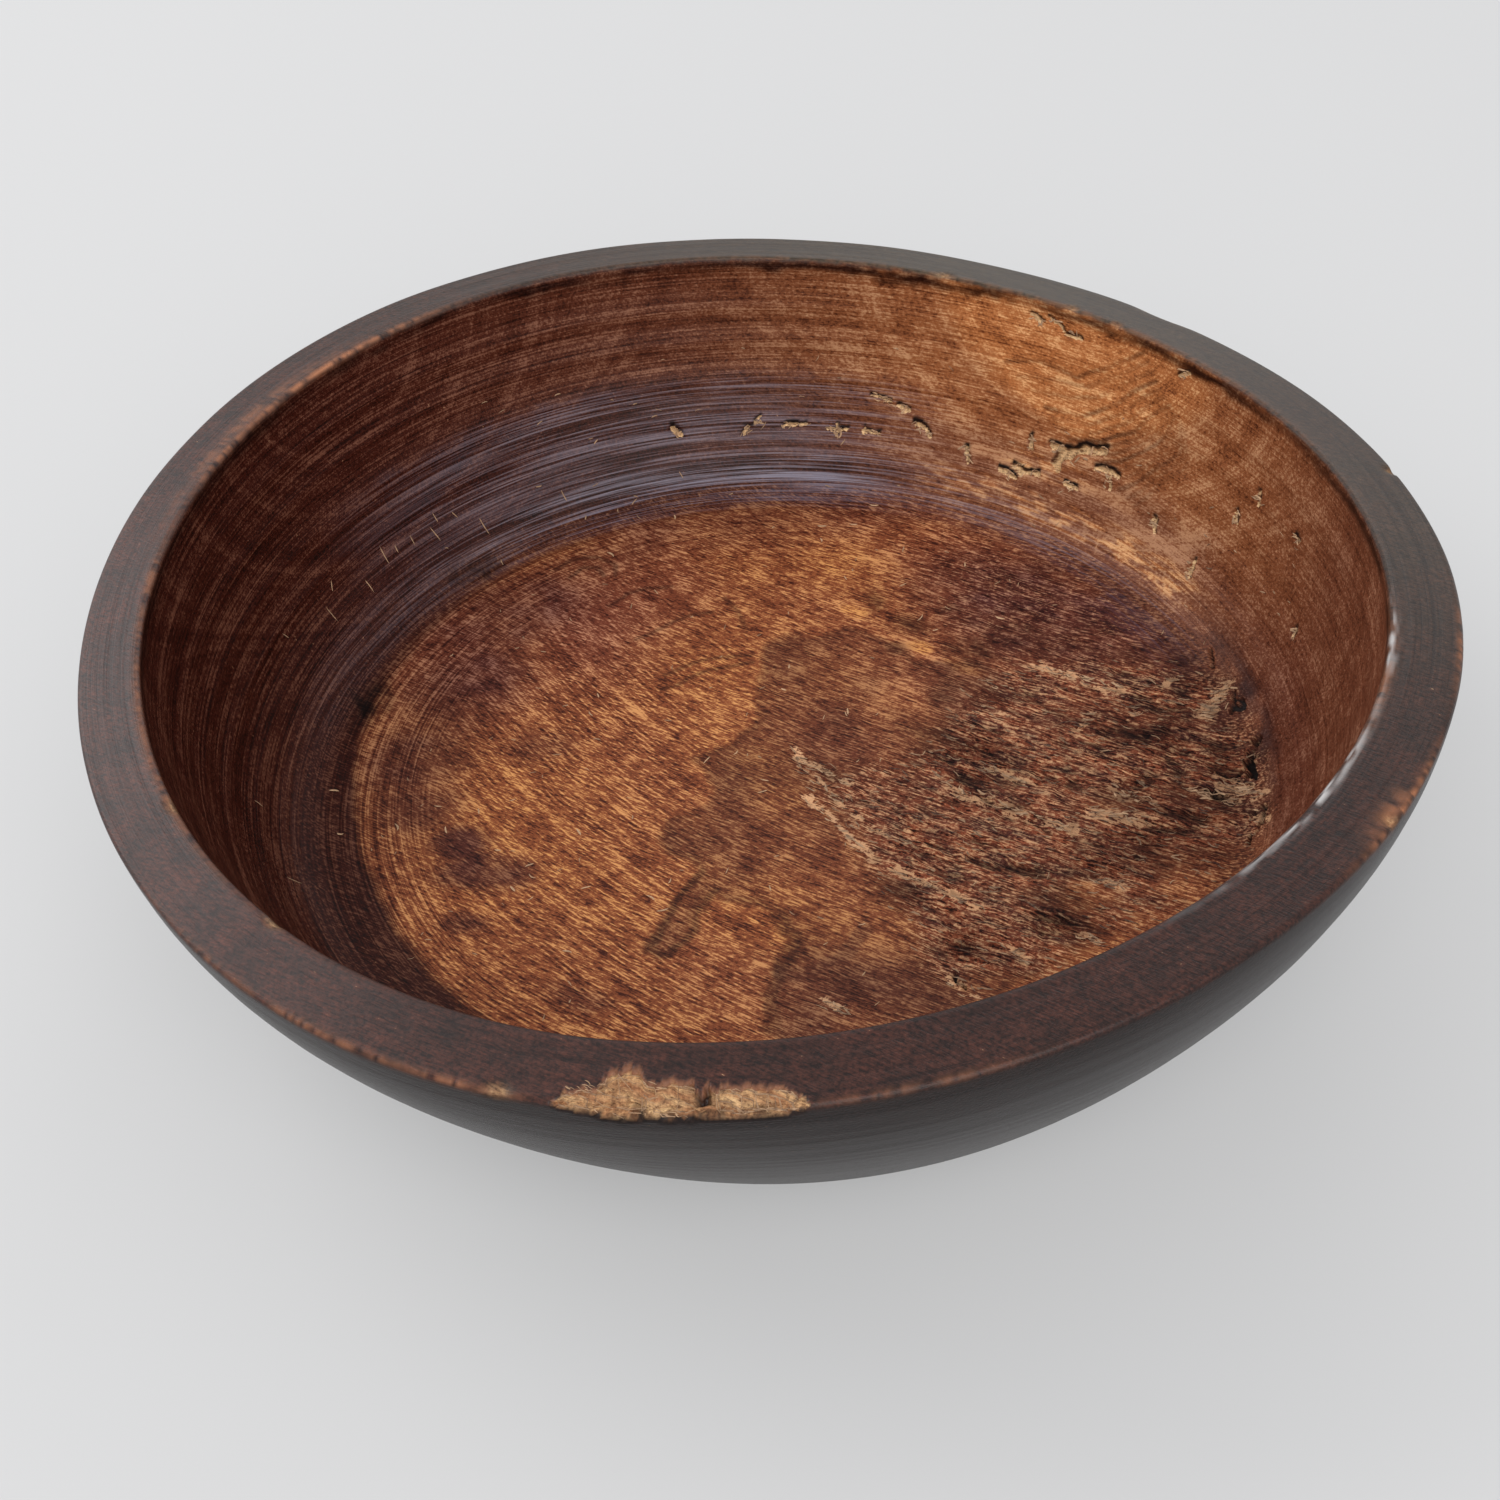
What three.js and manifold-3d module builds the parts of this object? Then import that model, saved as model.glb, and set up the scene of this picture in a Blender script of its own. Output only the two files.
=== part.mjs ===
// A large kneading bowl, turned on a lathe from one block of wood and warped a little as it dried.
// Millimetres, +Z up. The origin is the centre of the flat foot, and -Y is the side with the rim's chip.
import * as THREE from "three";
import { mergeVertices } from "three/addons/utils/BufferGeometryUtils.js";
import Module from "manifold-3d";

// The bowl as it left the lathe
const RIM_DIAMETER = 500; // over the rim's outer edge
const HEIGHT = 130; // of the rim's outer edge above the foot
const RIM_WIDTH = 25; // of the rim's flat top
const RIM_FALL = 4; // of the rim's top, from its inner edge to its outer edge
const OUTER_EDGE_ROUND = 2.5; // of the rim's outer edge
const INNER_EDGE_ROUND = 3; // of the rim's inner edge, which hands have worn
const FLOOR_THICKNESS = 30; // at the middle of the floor
const FLOOR_DISH = 3.5; // of the floor, from its edge down to its middle
const WALL_LEAN = 49; // of the inner wall, from the mouth in to the edge of the floor
const BELLY_SET_OUT = 24; // of the outer wall, from the edge of the floor, where it rounds under
const BELLY_HEIGHT = 30; // above the foot, where the outer wall rounds under
const FOOT_SET_IN = 31; // of the foot's edge from the edge of the floor above it

// How far the ends of the two walls run on before they bend away
const MOUTH_LEAN = 5; // inwards, over the inner wall's upper part
const MOUTH_RUN = 46; // down the inner wall from the mouth
const FILLET_RUN = 24; // outwards from the edge of the floor
const SHOULDER_LEAN = 3.5; // inwards, over the outer wall's upper part
const SHOULDER_RUN = 33; // down the outer wall from the rim
const FLARE_OUT = 22; // outwards, over the outer wall's lower part
const FLARE_UP = 31; // up the outer wall from the belly
const UNDER_RUN = 30; // on down past the belly, before the wall turns in to the foot

// Drying has drawn the round bowl in across the grain and bent its rim like a saddle
const GRAIN_ANGLE = THREE.MathUtils.degToRad(130); // of the grain, from +X towards +Y
const RIM_OVAL = 7.5; // added to the rim's radius along the grain, and lost across it
const RIM_SADDLE = 8; // rise of the rim at the ends of the grain, and its fall between them

// A splintered chip out of the rim's outer edge
const CHIP_ANGLE = THREE.MathUtils.degToRad(259); // of its middle, from +X towards +Y
const CHIP_LENGTH = 76; // along the edge
const CHIP_WIDTH = 13; // in over the rim's top
const CHIP_DEPTH = 5; // down the outer wall

// Facets
const TURN_STEPS = 96;
const FOOT_STEPS = 2;
const WALL_STEPS = 10;
const UNDER_STEPS = 5;
const EDGE_STEPS = 3;
const RIM_STEPS = 2;
const FLOOR_STEPS = 5;
const CHIP_STEPS = 20;
const SAME_POINT = 0.001; // points closer than this are one

const rimRadius = RIM_DIAMETER / 2;
const mouthRadius = rimRadius - RIM_WIDTH;
const mouthHeight = HEIGHT + RIM_FALL;
const floorRadius = mouthRadius - WALL_LEAN;
const floorEdgeHeight = FLOOR_THICKNESS + FLOOR_DISH;
const bellyRadius = floorRadius + BELLY_SET_OUT;
const footRadius = floorRadius - FOOT_SET_IN;

// Half of the bowl's section as stretches of [curve, steps], from the middle of the foot, up the
// outside, over the rim and down the inside to the middle of the floor.
function sectionStretches() {
  const at = (radius, height) => new THREE.Vector2(radius, height);
  const along = (from, to, distance) =>
    to.clone().sub(from).setLength(distance).add(from);

  const footMiddle = at(0, 0);
  const footEdge = at(footRadius, 0);
  const belly = at(bellyRadius, BELLY_HEIGHT);
  const flare = at(bellyRadius + FLARE_OUT, BELLY_HEIGHT + FLARE_UP);
  const under = along(belly, flare, -UNDER_RUN);
  const rimEdge = at(rimRadius, HEIGHT);
  const shoulder = at(rimRadius - SHOULDER_LEAN, HEIGHT - SHOULDER_RUN);
  const mouthEdge = at(mouthRadius, mouthHeight);
  const mouthWall = at(mouthRadius - MOUTH_LEAN, mouthHeight - MOUTH_RUN);
  const floorEdge = at(floorRadius, floorEdgeHeight);
  const fillet = at(floorRadius + FILLET_RUN, floorEdgeHeight);
  const floorMiddle = at(0, FLOOR_THICKNESS);
  const floorHalfway = at(floorRadius / 2, FLOOR_THICKNESS);

  const rimOutside = along(rimEdge, shoulder, OUTER_EDGE_ROUND);
  const rimTopOuter = along(rimEdge, mouthEdge, OUTER_EDGE_ROUND);
  const rimTopInner = along(mouthEdge, rimEdge, INNER_EDGE_ROUND);
  const rimInside = along(mouthEdge, mouthWall, INNER_EDGE_ROUND);

  return [
    [new THREE.LineCurve(footMiddle, footEdge), FOOT_STEPS],
    [new THREE.QuadraticBezierCurve(footEdge, under, belly), UNDER_STEPS],
    [new THREE.CubicBezierCurve(belly, flare, shoulder, rimOutside), WALL_STEPS],
    [new THREE.QuadraticBezierCurve(rimOutside, rimEdge, rimTopOuter), EDGE_STEPS],
    [new THREE.LineCurve(rimTopOuter, rimTopInner), RIM_STEPS],
    [new THREE.QuadraticBezierCurve(rimTopInner, mouthEdge, rimInside), EDGE_STEPS],
    [new THREE.CubicBezierCurve(rimInside, mouthWall, fillet, floorEdge), WALL_STEPS],
    [new THREE.QuadraticBezierCurve(floorEdge, floorHalfway, floorMiddle), FLOOR_STEPS],
  ];
}

// Moves a point of the round bowl to where drying left it: stretched along the grain, drawn in across
// it, and lifted like a saddle by an amount that grows from nothing at the foot to its full at the rim.
function dry(point) {
  const angle = Math.atan2(point.y, point.x) - GRAIN_ANGLE;
  const radius = Math.hypot(point.x, point.y);
  const stretch = RIM_OVAL / rimRadius;
  const lengthwise = radius * Math.cos(angle) * (1 + stretch);
  const crosswise = radius * Math.sin(angle) * (1 - stretch);
  const share = (radius / rimRadius) ** 2 * (point.z / HEIGHT);
  return new THREE.Vector3(
    lengthwise * Math.cos(GRAIN_ANGLE) - crosswise * Math.sin(GRAIN_ANGLE),
    lengthwise * Math.sin(GRAIN_ANGLE) + crosswise * Math.cos(GRAIN_ANGLE),
    point.z + RIM_SADDLE * share * Math.cos(2 * angle),
  );
}

// The turned bowl after drying, before the rim was chipped
function turnedBowl() {
  const section = [new THREE.Vector2(0, 0)];
  for (const [curve, steps] of sectionStretches()) {
    section.push(...curve.getPoints(steps).slice(1));
  }
  const geometry = new THREE.LatheGeometry(section, TURN_STEPS);
  geometry.rotateX(Math.PI / 2);
  const places = geometry.getAttribute("position");
  const point = new THREE.Vector3();
  for (let i = 0; i < places.count; i++) {
    const dried = dry(point.fromBufferAttribute(places, i));
    places.setXYZ(i, dried.x, dried.y, dried.z);
  }
  return geometry;
}

// The wood that splintered off: a flat egg round a point of the rim's outer edge
function chippedWood() {
  const edge = new THREE.Vector3(
    rimRadius * Math.cos(CHIP_ANGLE),
    rimRadius * Math.sin(CHIP_ANGLE),
    HEIGHT,
  );
  const geometry = new THREE.SphereGeometry(1, CHIP_STEPS, CHIP_STEPS / 2);
  geometry.scale(CHIP_WIDTH, CHIP_LENGTH / 2, CHIP_DEPTH);
  geometry.rotateZ(CHIP_ANGLE);
  return geometry.translate(...dry(edge).toArray());
}

const wasm = await Module();
wasm.setup();

function solid(geometry) {
  const bare = geometry.clone();
  bare.deleteAttribute("normal");
  bare.deleteAttribute("uv");
  const merged = mergeVertices(bare, SAME_POINT);
  return new wasm.Manifold(
    new wasm.Mesh({
      numProp: 3,
      vertProperties: merged.getAttribute("position").array,
      triVerts: new Uint32Array(merged.index.array),
    }),
  );
}

function geometryOf(shape) {
  const { vertProperties, triVerts } = shape.getMesh();
  const geometry = new THREE.BufferGeometry();
  geometry.setAttribute("position", new THREE.BufferAttribute(vertProperties, 3));
  geometry.setIndex(new THREE.BufferAttribute(triVerts, 1));
  geometry.computeVertexNormals();
  return geometry;
}

const stainedWood = new THREE.MeshStandardMaterial({
  color: 0x4a2817,
  roughness: 0.5,
  metalness: 0,
});

const bowl = new THREE.Mesh(
  geometryOf(solid(turnedBowl()).subtract(solid(chippedWood()))),
  stainedWood,
);
bowl.name = "bowl";

const part = new THREE.Group();
part.add(bowl);

export default part;
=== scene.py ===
import itertools
import math

import bpy
import numpy as np
from mathutils import Matrix, Vector
from mathutils.bvhtree import BVHTree


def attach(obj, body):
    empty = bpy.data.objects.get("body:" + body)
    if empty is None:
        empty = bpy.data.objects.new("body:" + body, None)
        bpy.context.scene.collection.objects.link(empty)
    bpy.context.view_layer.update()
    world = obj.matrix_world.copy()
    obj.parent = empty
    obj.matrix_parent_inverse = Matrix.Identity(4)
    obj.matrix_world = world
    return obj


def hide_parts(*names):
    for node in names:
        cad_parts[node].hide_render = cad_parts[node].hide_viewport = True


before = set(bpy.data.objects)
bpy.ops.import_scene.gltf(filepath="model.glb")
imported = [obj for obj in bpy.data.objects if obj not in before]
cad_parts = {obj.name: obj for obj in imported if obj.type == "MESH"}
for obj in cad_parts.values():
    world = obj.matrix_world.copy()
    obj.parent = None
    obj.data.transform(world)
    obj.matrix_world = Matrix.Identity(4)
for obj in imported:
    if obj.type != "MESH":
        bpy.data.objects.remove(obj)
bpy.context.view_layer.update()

# The bowl
# One block of slow-grown hardwood, hollowed and turned into a wide kneading bowl: a flat foot, a wall
# that flares out to a flat rim, and a floor that is nearly flat. Sizes are in millimetres.
MM = 0.001
RIM_RADIUS = 250
RIM_HEIGHT = 130
MOUTH_RADIUS = 225
MOUTH_HEIGHT = 134
FLOOR_RADIUS = 176
FLOOR_EDGE_HEIGHT = 33.5
FLOOR_HEIGHT = 30
BELLY_RADIUS = 200
BELLY_HEIGHT = 30
FOOT_RADIUS = 145
OUTER_EDGE_ROUND = 2.5
INNER_EDGE_ROUND = 3
FULL_TURN = 1152  # points round the inside, fewer on smaller rings and on the outside
LEAST_TURN = 9  # points round the smallest rings
INSIDE_SPACING = 0.62  # least gap between the points of a ring
OUTSIDE_SPACING = 2


def along(start, end, distance):
    """The point this far from the start towards the end."""
    start, end = np.array(start, float), np.array(end, float)
    return start + (end - start) * distance / np.linalg.norm(end - start)


def bend(guides, spacing):
    """Points about this far apart on the curve of these guide points, without the first one."""
    guides = [np.array(guide, float) for guide in guides]
    length = sum(np.linalg.norm(b - a) for a, b in zip(guides, guides[1:]))
    share = np.linspace(0, 1, round(length / spacing) + 1)[1:, None]
    while len(guides) > 1:
        guides = [a * (1 - share) + b * share for a, b in zip(guides, guides[1:])]
    return guides[0]


# Corners of the section and the points that guide its curves, as (radius, height)
foot_edge = (FOOT_RADIUS, 0)
belly = (BELLY_RADIUS, BELLY_HEIGHT)
flare = (BELLY_RADIUS + 22, BELLY_HEIGHT + 31)
under = along(belly, flare, -30)
rim_edge = (RIM_RADIUS, RIM_HEIGHT)
shoulder = (RIM_RADIUS - 3.5, RIM_HEIGHT - 33)
mouth_edge = (MOUTH_RADIUS, MOUTH_HEIGHT)
mouth_wall = (MOUTH_RADIUS - 5, MOUTH_HEIGHT - 46)
floor_edge = (FLOOR_RADIUS, FLOOR_EDGE_HEIGHT)
fillet = (FLOOR_RADIUS + 24, FLOOR_EDGE_HEIGHT)
rim_outside = along(rim_edge, shoulder, OUTER_EDGE_ROUND)
rim_top_outer = along(rim_edge, mouth_edge, OUTER_EDGE_ROUND)
rim_top_inner = along(mouth_edge, rim_edge, INNER_EDGE_ROUND)
rim_inside = along(mouth_edge, mouth_wall, INNER_EDGE_ROUND)

# Each run of the section, and how far apart its points stand
outside_section = np.concatenate([
    [(0, 0)],
    bend([(0, 0), foot_edge], 12),
    bend([foot_edge, under, belly], 3),
    bend([belly, flare, shoulder, rim_outside], 2),
])
inside_section = np.concatenate([
    bend([rim_outside, rim_edge, rim_top_outer], 0.8),
    bend([rim_top_outer, rim_top_inner], 0.9),
    bend([rim_top_inner, mouth_edge, rim_inside], 0.8),
    bend([rim_inside, mouth_wall, fillet, floor_edge], 0.95),
    bend([floor_edge, (FLOOR_RADIUS / 2, FLOOR_HEIGHT), (0, FLOOR_HEIGHT)], 1),
])
section = np.concatenate([outside_section, inside_section])

# How far each point lies from the rim's outer edge along the section, and which way the section runs there
steps = np.linalg.norm(np.diff(section, axis=0), axis=1)
section_run = np.concatenate([[0], np.cumsum(steps)])
section_run -= section_run[np.argmin(np.linalg.norm(section - rim_edge, axis=1))]
section_slope = np.gradient(section, axis=0)
section_slope /= np.linalg.norm(section_slope, axis=1)[:, None]

# The points stand closer round the rim's chip, the insects' channels and the torn floor. Each place is a
# middle and a half width in degrees of turn, and how much closer the points stand.
fine_turn = np.linspace(0, 2 * np.pi, 4096)
crowding = np.ones_like(fine_turn)
for middle, half_width, extra in ((259, 11, 1.6), (44, 8, 1), (65, 12, 0.4), (335, 40, 0.4)):
    off = np.degrees(np.angle(np.exp(1j * (fine_turn - math.radians(middle)))))
    crowding += extra * np.exp(-(off / half_width) ** 2)
crowded = np.concatenate([[0], np.cumsum((crowding[1:] + crowding[:-1]) / 2)])
full_turn = np.interp(np.arange(FULL_TURN) / FULL_TURN, crowded / crowded[-1], fine_turn)

rings = []
ring_turns = []
point_count = 0
for row, ring_radius in enumerate(section[:, 0]):
    spacing = INSIDE_SPACING if row >= len(outside_section) else OUTSIDE_SPACING
    size = FULL_TURN
    while size > LEAST_TURN and 2 * np.pi * ring_radius / size < spacing:
        size //= 2
    if row in (0, len(section) - 1):
        size = 1
    rings.append(np.arange(size) + point_count)
    ring_turns.append(full_turn[:: FULL_TURN // size])
    point_count += size

row_of = np.repeat(np.arange(len(section)), [len(ring) for ring in rings])
turn = np.concatenate(ring_turns)
radius, height = section[row_of].T
down = section_run[row_of]  # along the surface, from the rim's outer edge in over the rim and down
outward = np.stack([section_slope[row_of, 1], -section_slope[row_of, 0]], 1)

# Faces between each ring and the next. Where the next has half or twice as many points, three triangles
# fill each step.
quads = []
triangles = []
for ring, after in zip(rings, rings[1:]):
    if len(ring) == len(after):
        quads.append(np.stack([ring, np.roll(ring, -1), np.roll(after, -1), after], 1))
    elif len(ring) == 1:
        triangles.append(np.stack([np.full_like(after, ring[0]), np.roll(after, -1), after], 1))
    elif len(after) == 1:
        triangles.append(np.stack([ring, np.roll(ring, -1), np.full_like(ring, after[0])], 1))
    elif len(ring) > len(after):
        first, second = ring[0::2], ring[1::2]
        third, after_next = np.roll(first, -1), np.roll(after, -1)
        triangles.append(np.stack([first, second, after], 1))
        triangles.append(np.stack([second, after_next, after], 1))
        triangles.append(np.stack([second, third, after_next], 1))
    else:
        first, second = after[0::2], after[1::2]
        third, ring_next = np.roll(first, -1), np.roll(ring, -1)
        triangles.append(np.stack([ring, second, first], 1))
        triangles.append(np.stack([ring, ring_next, second], 1))
        triangles.append(np.stack([ring_next, third, second], 1))

# The block's grain
# Long fibres lie level across the bowl and sweep round a little. The lathe cut the growth rings at a slant,
# so that they show as bright lines about two millimetres apart on the floor and as nested arcs on the wall.
GRAIN_TURN = math.radians(130)
FIGURE_TURN = math.radians(134)  # where the wall cuts the rings square, and a quarter turn on
FIGURE_AXIS = 43  # of the arched figure on the floor, across the grain
FIBRE_TURN = math.radians(-36)  # of the short fibres, which cross the rings at a slant
FIGURE_ROUND = 26  # of the arches' ends, along that axis
RING_LEAN = 0.46  # of the rings where the wall cuts them
GRAIN_SWEEP = 0.00105  # of the fibres sideways, for each square millimetre along the grain
GRAIN_FAN = 0.0005  # by which fibres side by side spread
WALL_FOOT = 118  # from the rim's outer edge along the section, where the wall bends into the floor
FLOOR_START = 140
plan_x = radius * np.cos(turn)
plan_y = radius * np.sin(turn)


def to_grain(x, y):
    """Places along and across the grain, which sweeps round towards the right."""
    lengthwise = -x * math.cos(GRAIN_TURN) - y * math.sin(GRAIN_TURN)
    crosswise = x * math.sin(GRAIN_TURN) - y * math.cos(GRAIN_TURN)
    return lengthwise, crosswise - GRAIN_SWEEP * lengthwise ** 2 - GRAIN_FAN * lengthwise * crosswise


def wander(places, seed):
    """Smooth random heights from -1 to 1 over an array of places, a hill or a hollow to each unit."""
    corner = np.floor(places).astype(np.int64)
    part = places - corner
    part = part * part * (3 - 2 * part)
    total = np.zeros(len(places))
    for step in itertools.product((0, 1), repeat=places.shape[1]):
        # large odd numbers scramble the seed and the corner's place into a height without a pattern
        mixed = np.full(len(places), seed * 7919 + 17, np.int64)
        weight = np.ones(len(places))
        for axis, one in enumerate(step):
            mixed = (mixed * 31 + corner[:, axis] + one) * 2654435761 & 0xFFFFFFFF
            mixed ^= mixed >> 15
            weight *= part[:, axis] if one else 1 - part[:, axis]
        total += weight * ((mixed * 2246822519 >> 7 & 0xFFFF) / 0x7FFF - 1)
    return total


def ease(low, high, value):
    """0 up to low, 1 from high on, and smooth between them."""
    share = np.clip((value - low) / (high - low), 0, 1)
    return share * share * (3 - 2 * share)


lengthwise, crosswise = to_grain(plan_x, plan_y)


def grain_cells(long, wide):
    """Places in cells this long along the grain and this wide across it."""
    return np.stack([lengthwise / long, crosswise / wide], 1)


solid_place = np.stack([plan_x, plan_y, height], 1)
off_figure = turn - FIGURE_TURN
wall_ring = np.hypot(MOUTH_HEIGHT + 6 - height, RING_LEAN * radius * np.sin(2 * off_figure))
floor_ring = np.hypot(crosswise - FIGURE_AXIS, FIGURE_ROUND)
floor_ring += 6 * wander(grain_cells(150, 60), 3)
on_floor = ease(WALL_FOOT, FLOOR_START, down)
ring_place = 1.5 * wall_ring * (1 - on_floor) + floor_ring * on_floor
ring_place += 0.8 * wander(solid_place / 22, 4)

# Stains, painted shade and painted sheen
# Water and dough have stained the floor in patches, and a bluish painted sheen, in place of the room's
# reflection, lies on the back wall. Places on the floor are plan millimetres, and places on the wall are
# degrees of turn and millimetres down.
WALL_DEGREE = 3.75  # of the wall's length to a degree of turn
MOUTH_DOWN = 25.5  # from the rim's outer edge, over the rim's top
turn_degrees = np.degrees(turn)
turn_degrees = np.where(turn_degrees > 270, turn_degrees - 360, turn_degrees)

# Edges of stains, worn places and tears are uneven, coarsely and finely
fuzz = np.stack([wander(solid_place / 9, 11), wander(solid_place / 9, 12)], 1)
fine_fuzz = np.stack([wander(solid_place / 3.2, 13), wander(solid_place / 3.2, 14)], 1)
inside = ease(MOUTH_DOWN - 1.5, MOUTH_DOWN + 1.5, down + 0.8 * fuzz[:, 0] + 0.9 * fine_fuzz[:, 0])
on_wall = inside * (1 - ease(133, 139, down))
plan_place = np.stack([plan_x, plan_y], 1) + 2.2 * fuzz + 1.1 * fine_fuzz
wall_place = np.stack([turn_degrees * WALL_DEGREE, down], 1) + 1.2 * fuzz + 1.1 * fine_fuzz


def gap_to(path, places):
    """Distance of each place from a path of straight runs."""
    gap = np.full(len(places), np.inf)
    for start, end in zip(path, path[1:]):
        run = np.subtract(end, start)
        share = np.clip((places - start) @ run / (run @ run), 0, 1)
        gap = np.minimum(gap, np.linalg.norm(places - start - share[:, None] * run, axis=1))
    return gap


def depth_in(outline, places):
    """How far each place lies inside a closed outline, or below 0 outside it."""
    closed = [*outline, outline[0]]
    within = np.zeros(len(places), bool)
    for (x0, y0), (x1, y1) in zip(closed, closed[1:]):
        crosses = (places[:, 1] < y0) != (places[:, 1] < y1)
        within ^= crosses & (places[:, 0] < x0 + (places[:, 1] - y0) * (x1 - x0) / (y1 - y0 + 1e-9))
    return np.where(within, 1, -1) * gap_to(closed, places)


def patches(*ovals, edge=0.6):
    """Soft-edged ovals on the floor, each (x, y, half length, half width, tilt, strength)."""
    total = np.zeros_like(turn)
    for x, y, half_length, half_width, tilt, strength in ovals:
        away_x, away_y = plan_place[:, 0] - x, plan_place[:, 1] - y
        cos_tilt, sin_tilt = math.cos(math.radians(tilt)), math.sin(math.radians(tilt))
        long = away_x * cos_tilt + away_y * sin_tilt
        wide = away_y * cos_tilt - away_x * sin_tilt
        cover = 1 - ease(1 - edge, 1 + edge, np.hypot(long / half_length, wide / half_width))
        total = np.maximum(total, strength * cover)
    return total * on_floor


def near(path, core, edge, places):
    """1 within a core's distance of a path, fading to 0 at the edge's."""
    return 1 - ease(core, edge, gap_to(path, places))


def round_turn(middle, half_length):
    """A soft bump over this many degrees of turn each way."""
    off = np.degrees(np.angle(np.exp(1j * (turn - math.radians(middle)))))
    return np.exp(-(off / half_length) ** 2)


def band(middle, half_width):
    """A soft band this far down, right round the bowl."""
    return np.exp(-((down - middle) / half_width) ** 2)


def patchy(level, swing, long, high, seed):
    """Shares around a level, in cells so many degrees of turn long and so many millimetres high."""
    return np.clip(level + swing * wander(np.stack([turn_degrees / long, down / high], 1), seed), 0, 1)


# A spilt stain with a smear beside it, and dark tide lines round the stain, round the finger that ran from
# it and along its drip
spilt = [(-30, 17), (-14, 21), (0, 35), (2, 60), (8, 84), (22, 87), (31, 84), (45, 88), (56, 79), (68, 60),
         (95, 55), (120, 20), (110, -60), (84, -116), (58, -136), (30, -146), (4, -147), (-14, -139),
         (-15, -118), (-7, -100), (-3, -88),
         (-5, -77), (-12, -70), (-24, -66), (-29, -60), (-38, -73), (-45, -90), (-53, -92), (-57, -84),
         (-50, -72), (-33, -48), (-36, -41), (-45, -36), (-48, -28), (-40, -17), (-27, -13), (-23, -6)]
finger = [(-33, -48), (-53, -80), (-56, -87), (-50, -92), (-43, -86), (-36, -72), (-28, -60)]
drip = [(-5, -77), (-3, -90), (-8, -102), (-15, -118), (-16, -132)]
smear = [(24, -88), (13, -102), (2, -106), (-8, -106)]
spilt_depth = np.where(on_floor > 0, depth_in(spilt, plan_place), -np.inf)
stain = 0.85 * ease(-2, 3, spilt_depth) * (0.8 + 0.3 * wander(solid_place / 16, 15))
stain *= 1 - patches((48, 48, 34, 18, -60, 0.2), (15, -65, 36, 22, -60, 0.5), (60, 40, 16, 10, -60, 0.5))
stain = np.maximum(stain, 0.8 * near(smear, 2, 6, plan_place)) * on_floor
tide = 0.75 * near(finger, 0.5, 3, plan_place)
tide = np.maximum(tide, 0.6 * near(drip, 1, 5, plan_place))
tide_line = ease(-2, 0.3, spilt_depth) * (1 - ease(1, 4.5, spilt_depth))
tide = np.maximum(tide, 0.45 * tide_line * (0.7 + 0.5 * wander(solid_place / 14, 16)))
tide = np.clip(tide, 0, 1) * on_floor

# Wine-dark blotches and sooty spots on the floor and the wall's foot, a painted shade along the wall's foot
# on the right, and spots where bright wood shows
wine_and_shade = patches((-125, -20, 12, 11, 0, 1), (-116, -37, 19, 11, -12, 1), edge=0.45)
wine_and_shade = np.maximum(wine_and_shade, patches(
    (-125, -64, 8, 5, 0, 0.7), (-140, 33, 26, 18, 40, 0.65), (-118, 76, 30, 22, 60, 0.75),
    (-92, 32, 16, 10, 0, 0.5), (-82, -108, 12, 6, -30, 0.7), (-142, 2, 18, 12, 0, 0.6),
    (-100, 118, 38, 22, 30, 0.75), (10, 178, 110, 24, 0, 0.5), (127, 77, 56, 36, -48, 0.9),
    (72, 106, 24, 16, -45, 0.1), (152, 48, 36, 26, -60, 0.75), (177, 24, 34, 12, 98, 0.8),
    (177, -30, 32, 12, 80, 0.7), (-60, 150, 40, 12, 20, 0.4), (20, -112, 34, 16, -20, 0.45)))
wine_and_shade *= 0.85 + 0.25 * wander(solid_place / 8, 17)
wall_foot = band(104, 15) * ease(14, 26, turn_degrees) * (1 - ease(62, 74, turn_degrees)) * on_wall
wall_foot_wine = wall_foot * patchy(0.45, 1.1, 5, 6, 57)
# A painted shade along the wall's foot on the right, laid into the wine-dark and sooty shares
foot_shade = band(125, 8) * round_turn(0, 15) * patchy(0.75, 0.8, 3, 4, 58)
wine_and_shade = np.maximum.reduce([wine_and_shade, 0.3 * wall_foot_wine, 0.9 * foot_shade])
soot_and_shade = patches(
    (-160, 68, 14, 7, 65, 1), (-114, 147, 12, 5, 20, 1), (70, 83, 9, 7, -45, 0.85),
    (57, 101, 4, 9, -10, 0.6), (88, 92, 5, 3, 0, 0.6), (92, 62, 9, 9, 20, 0.8), (62, 69, 5, 4, 0, 0.6),
    (82, 44, 8, 12, -40, 0.75), (92, 36, 10, 8, -40, 0.6), (78, 6, 26, 11, -40, 0.65),
    (80, -15, 10, 5, -30, 0.85), (24, -3, 7, 4, -40, 0.8), (66, 2, 8, 5, 0, 0.7),
    (94, -34, 8, 4, -35, 0.7), (150, -40, 26, 12, -15, 0.95), (140, -66, 22, 12, -20, 0.7),
    (40, -72, 11, 8, -60, 0.6), (100, -92, 16, 10, -60, 0.65), (158, 46, 14, 8, 0, 0.45),
    (120, 66, 22, 10, -30, 0.4), (150, 4, 22, 12, -30, 0.75), (176, 26, 30, 9, 98, 0.6),
    (178, -26, 30, 8, 82, 0.5), (112, -68, 14, 9, -40, 0.5), (60, -104, 14, 8, -40, 0.5), edge=0.7)
soot_and_shade *= 0.75 + 0.5 * wander(grain_cells(9, 4), 18)
soot_and_shade = np.maximum(soot_and_shade, 0.55 * foot_shade)
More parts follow.
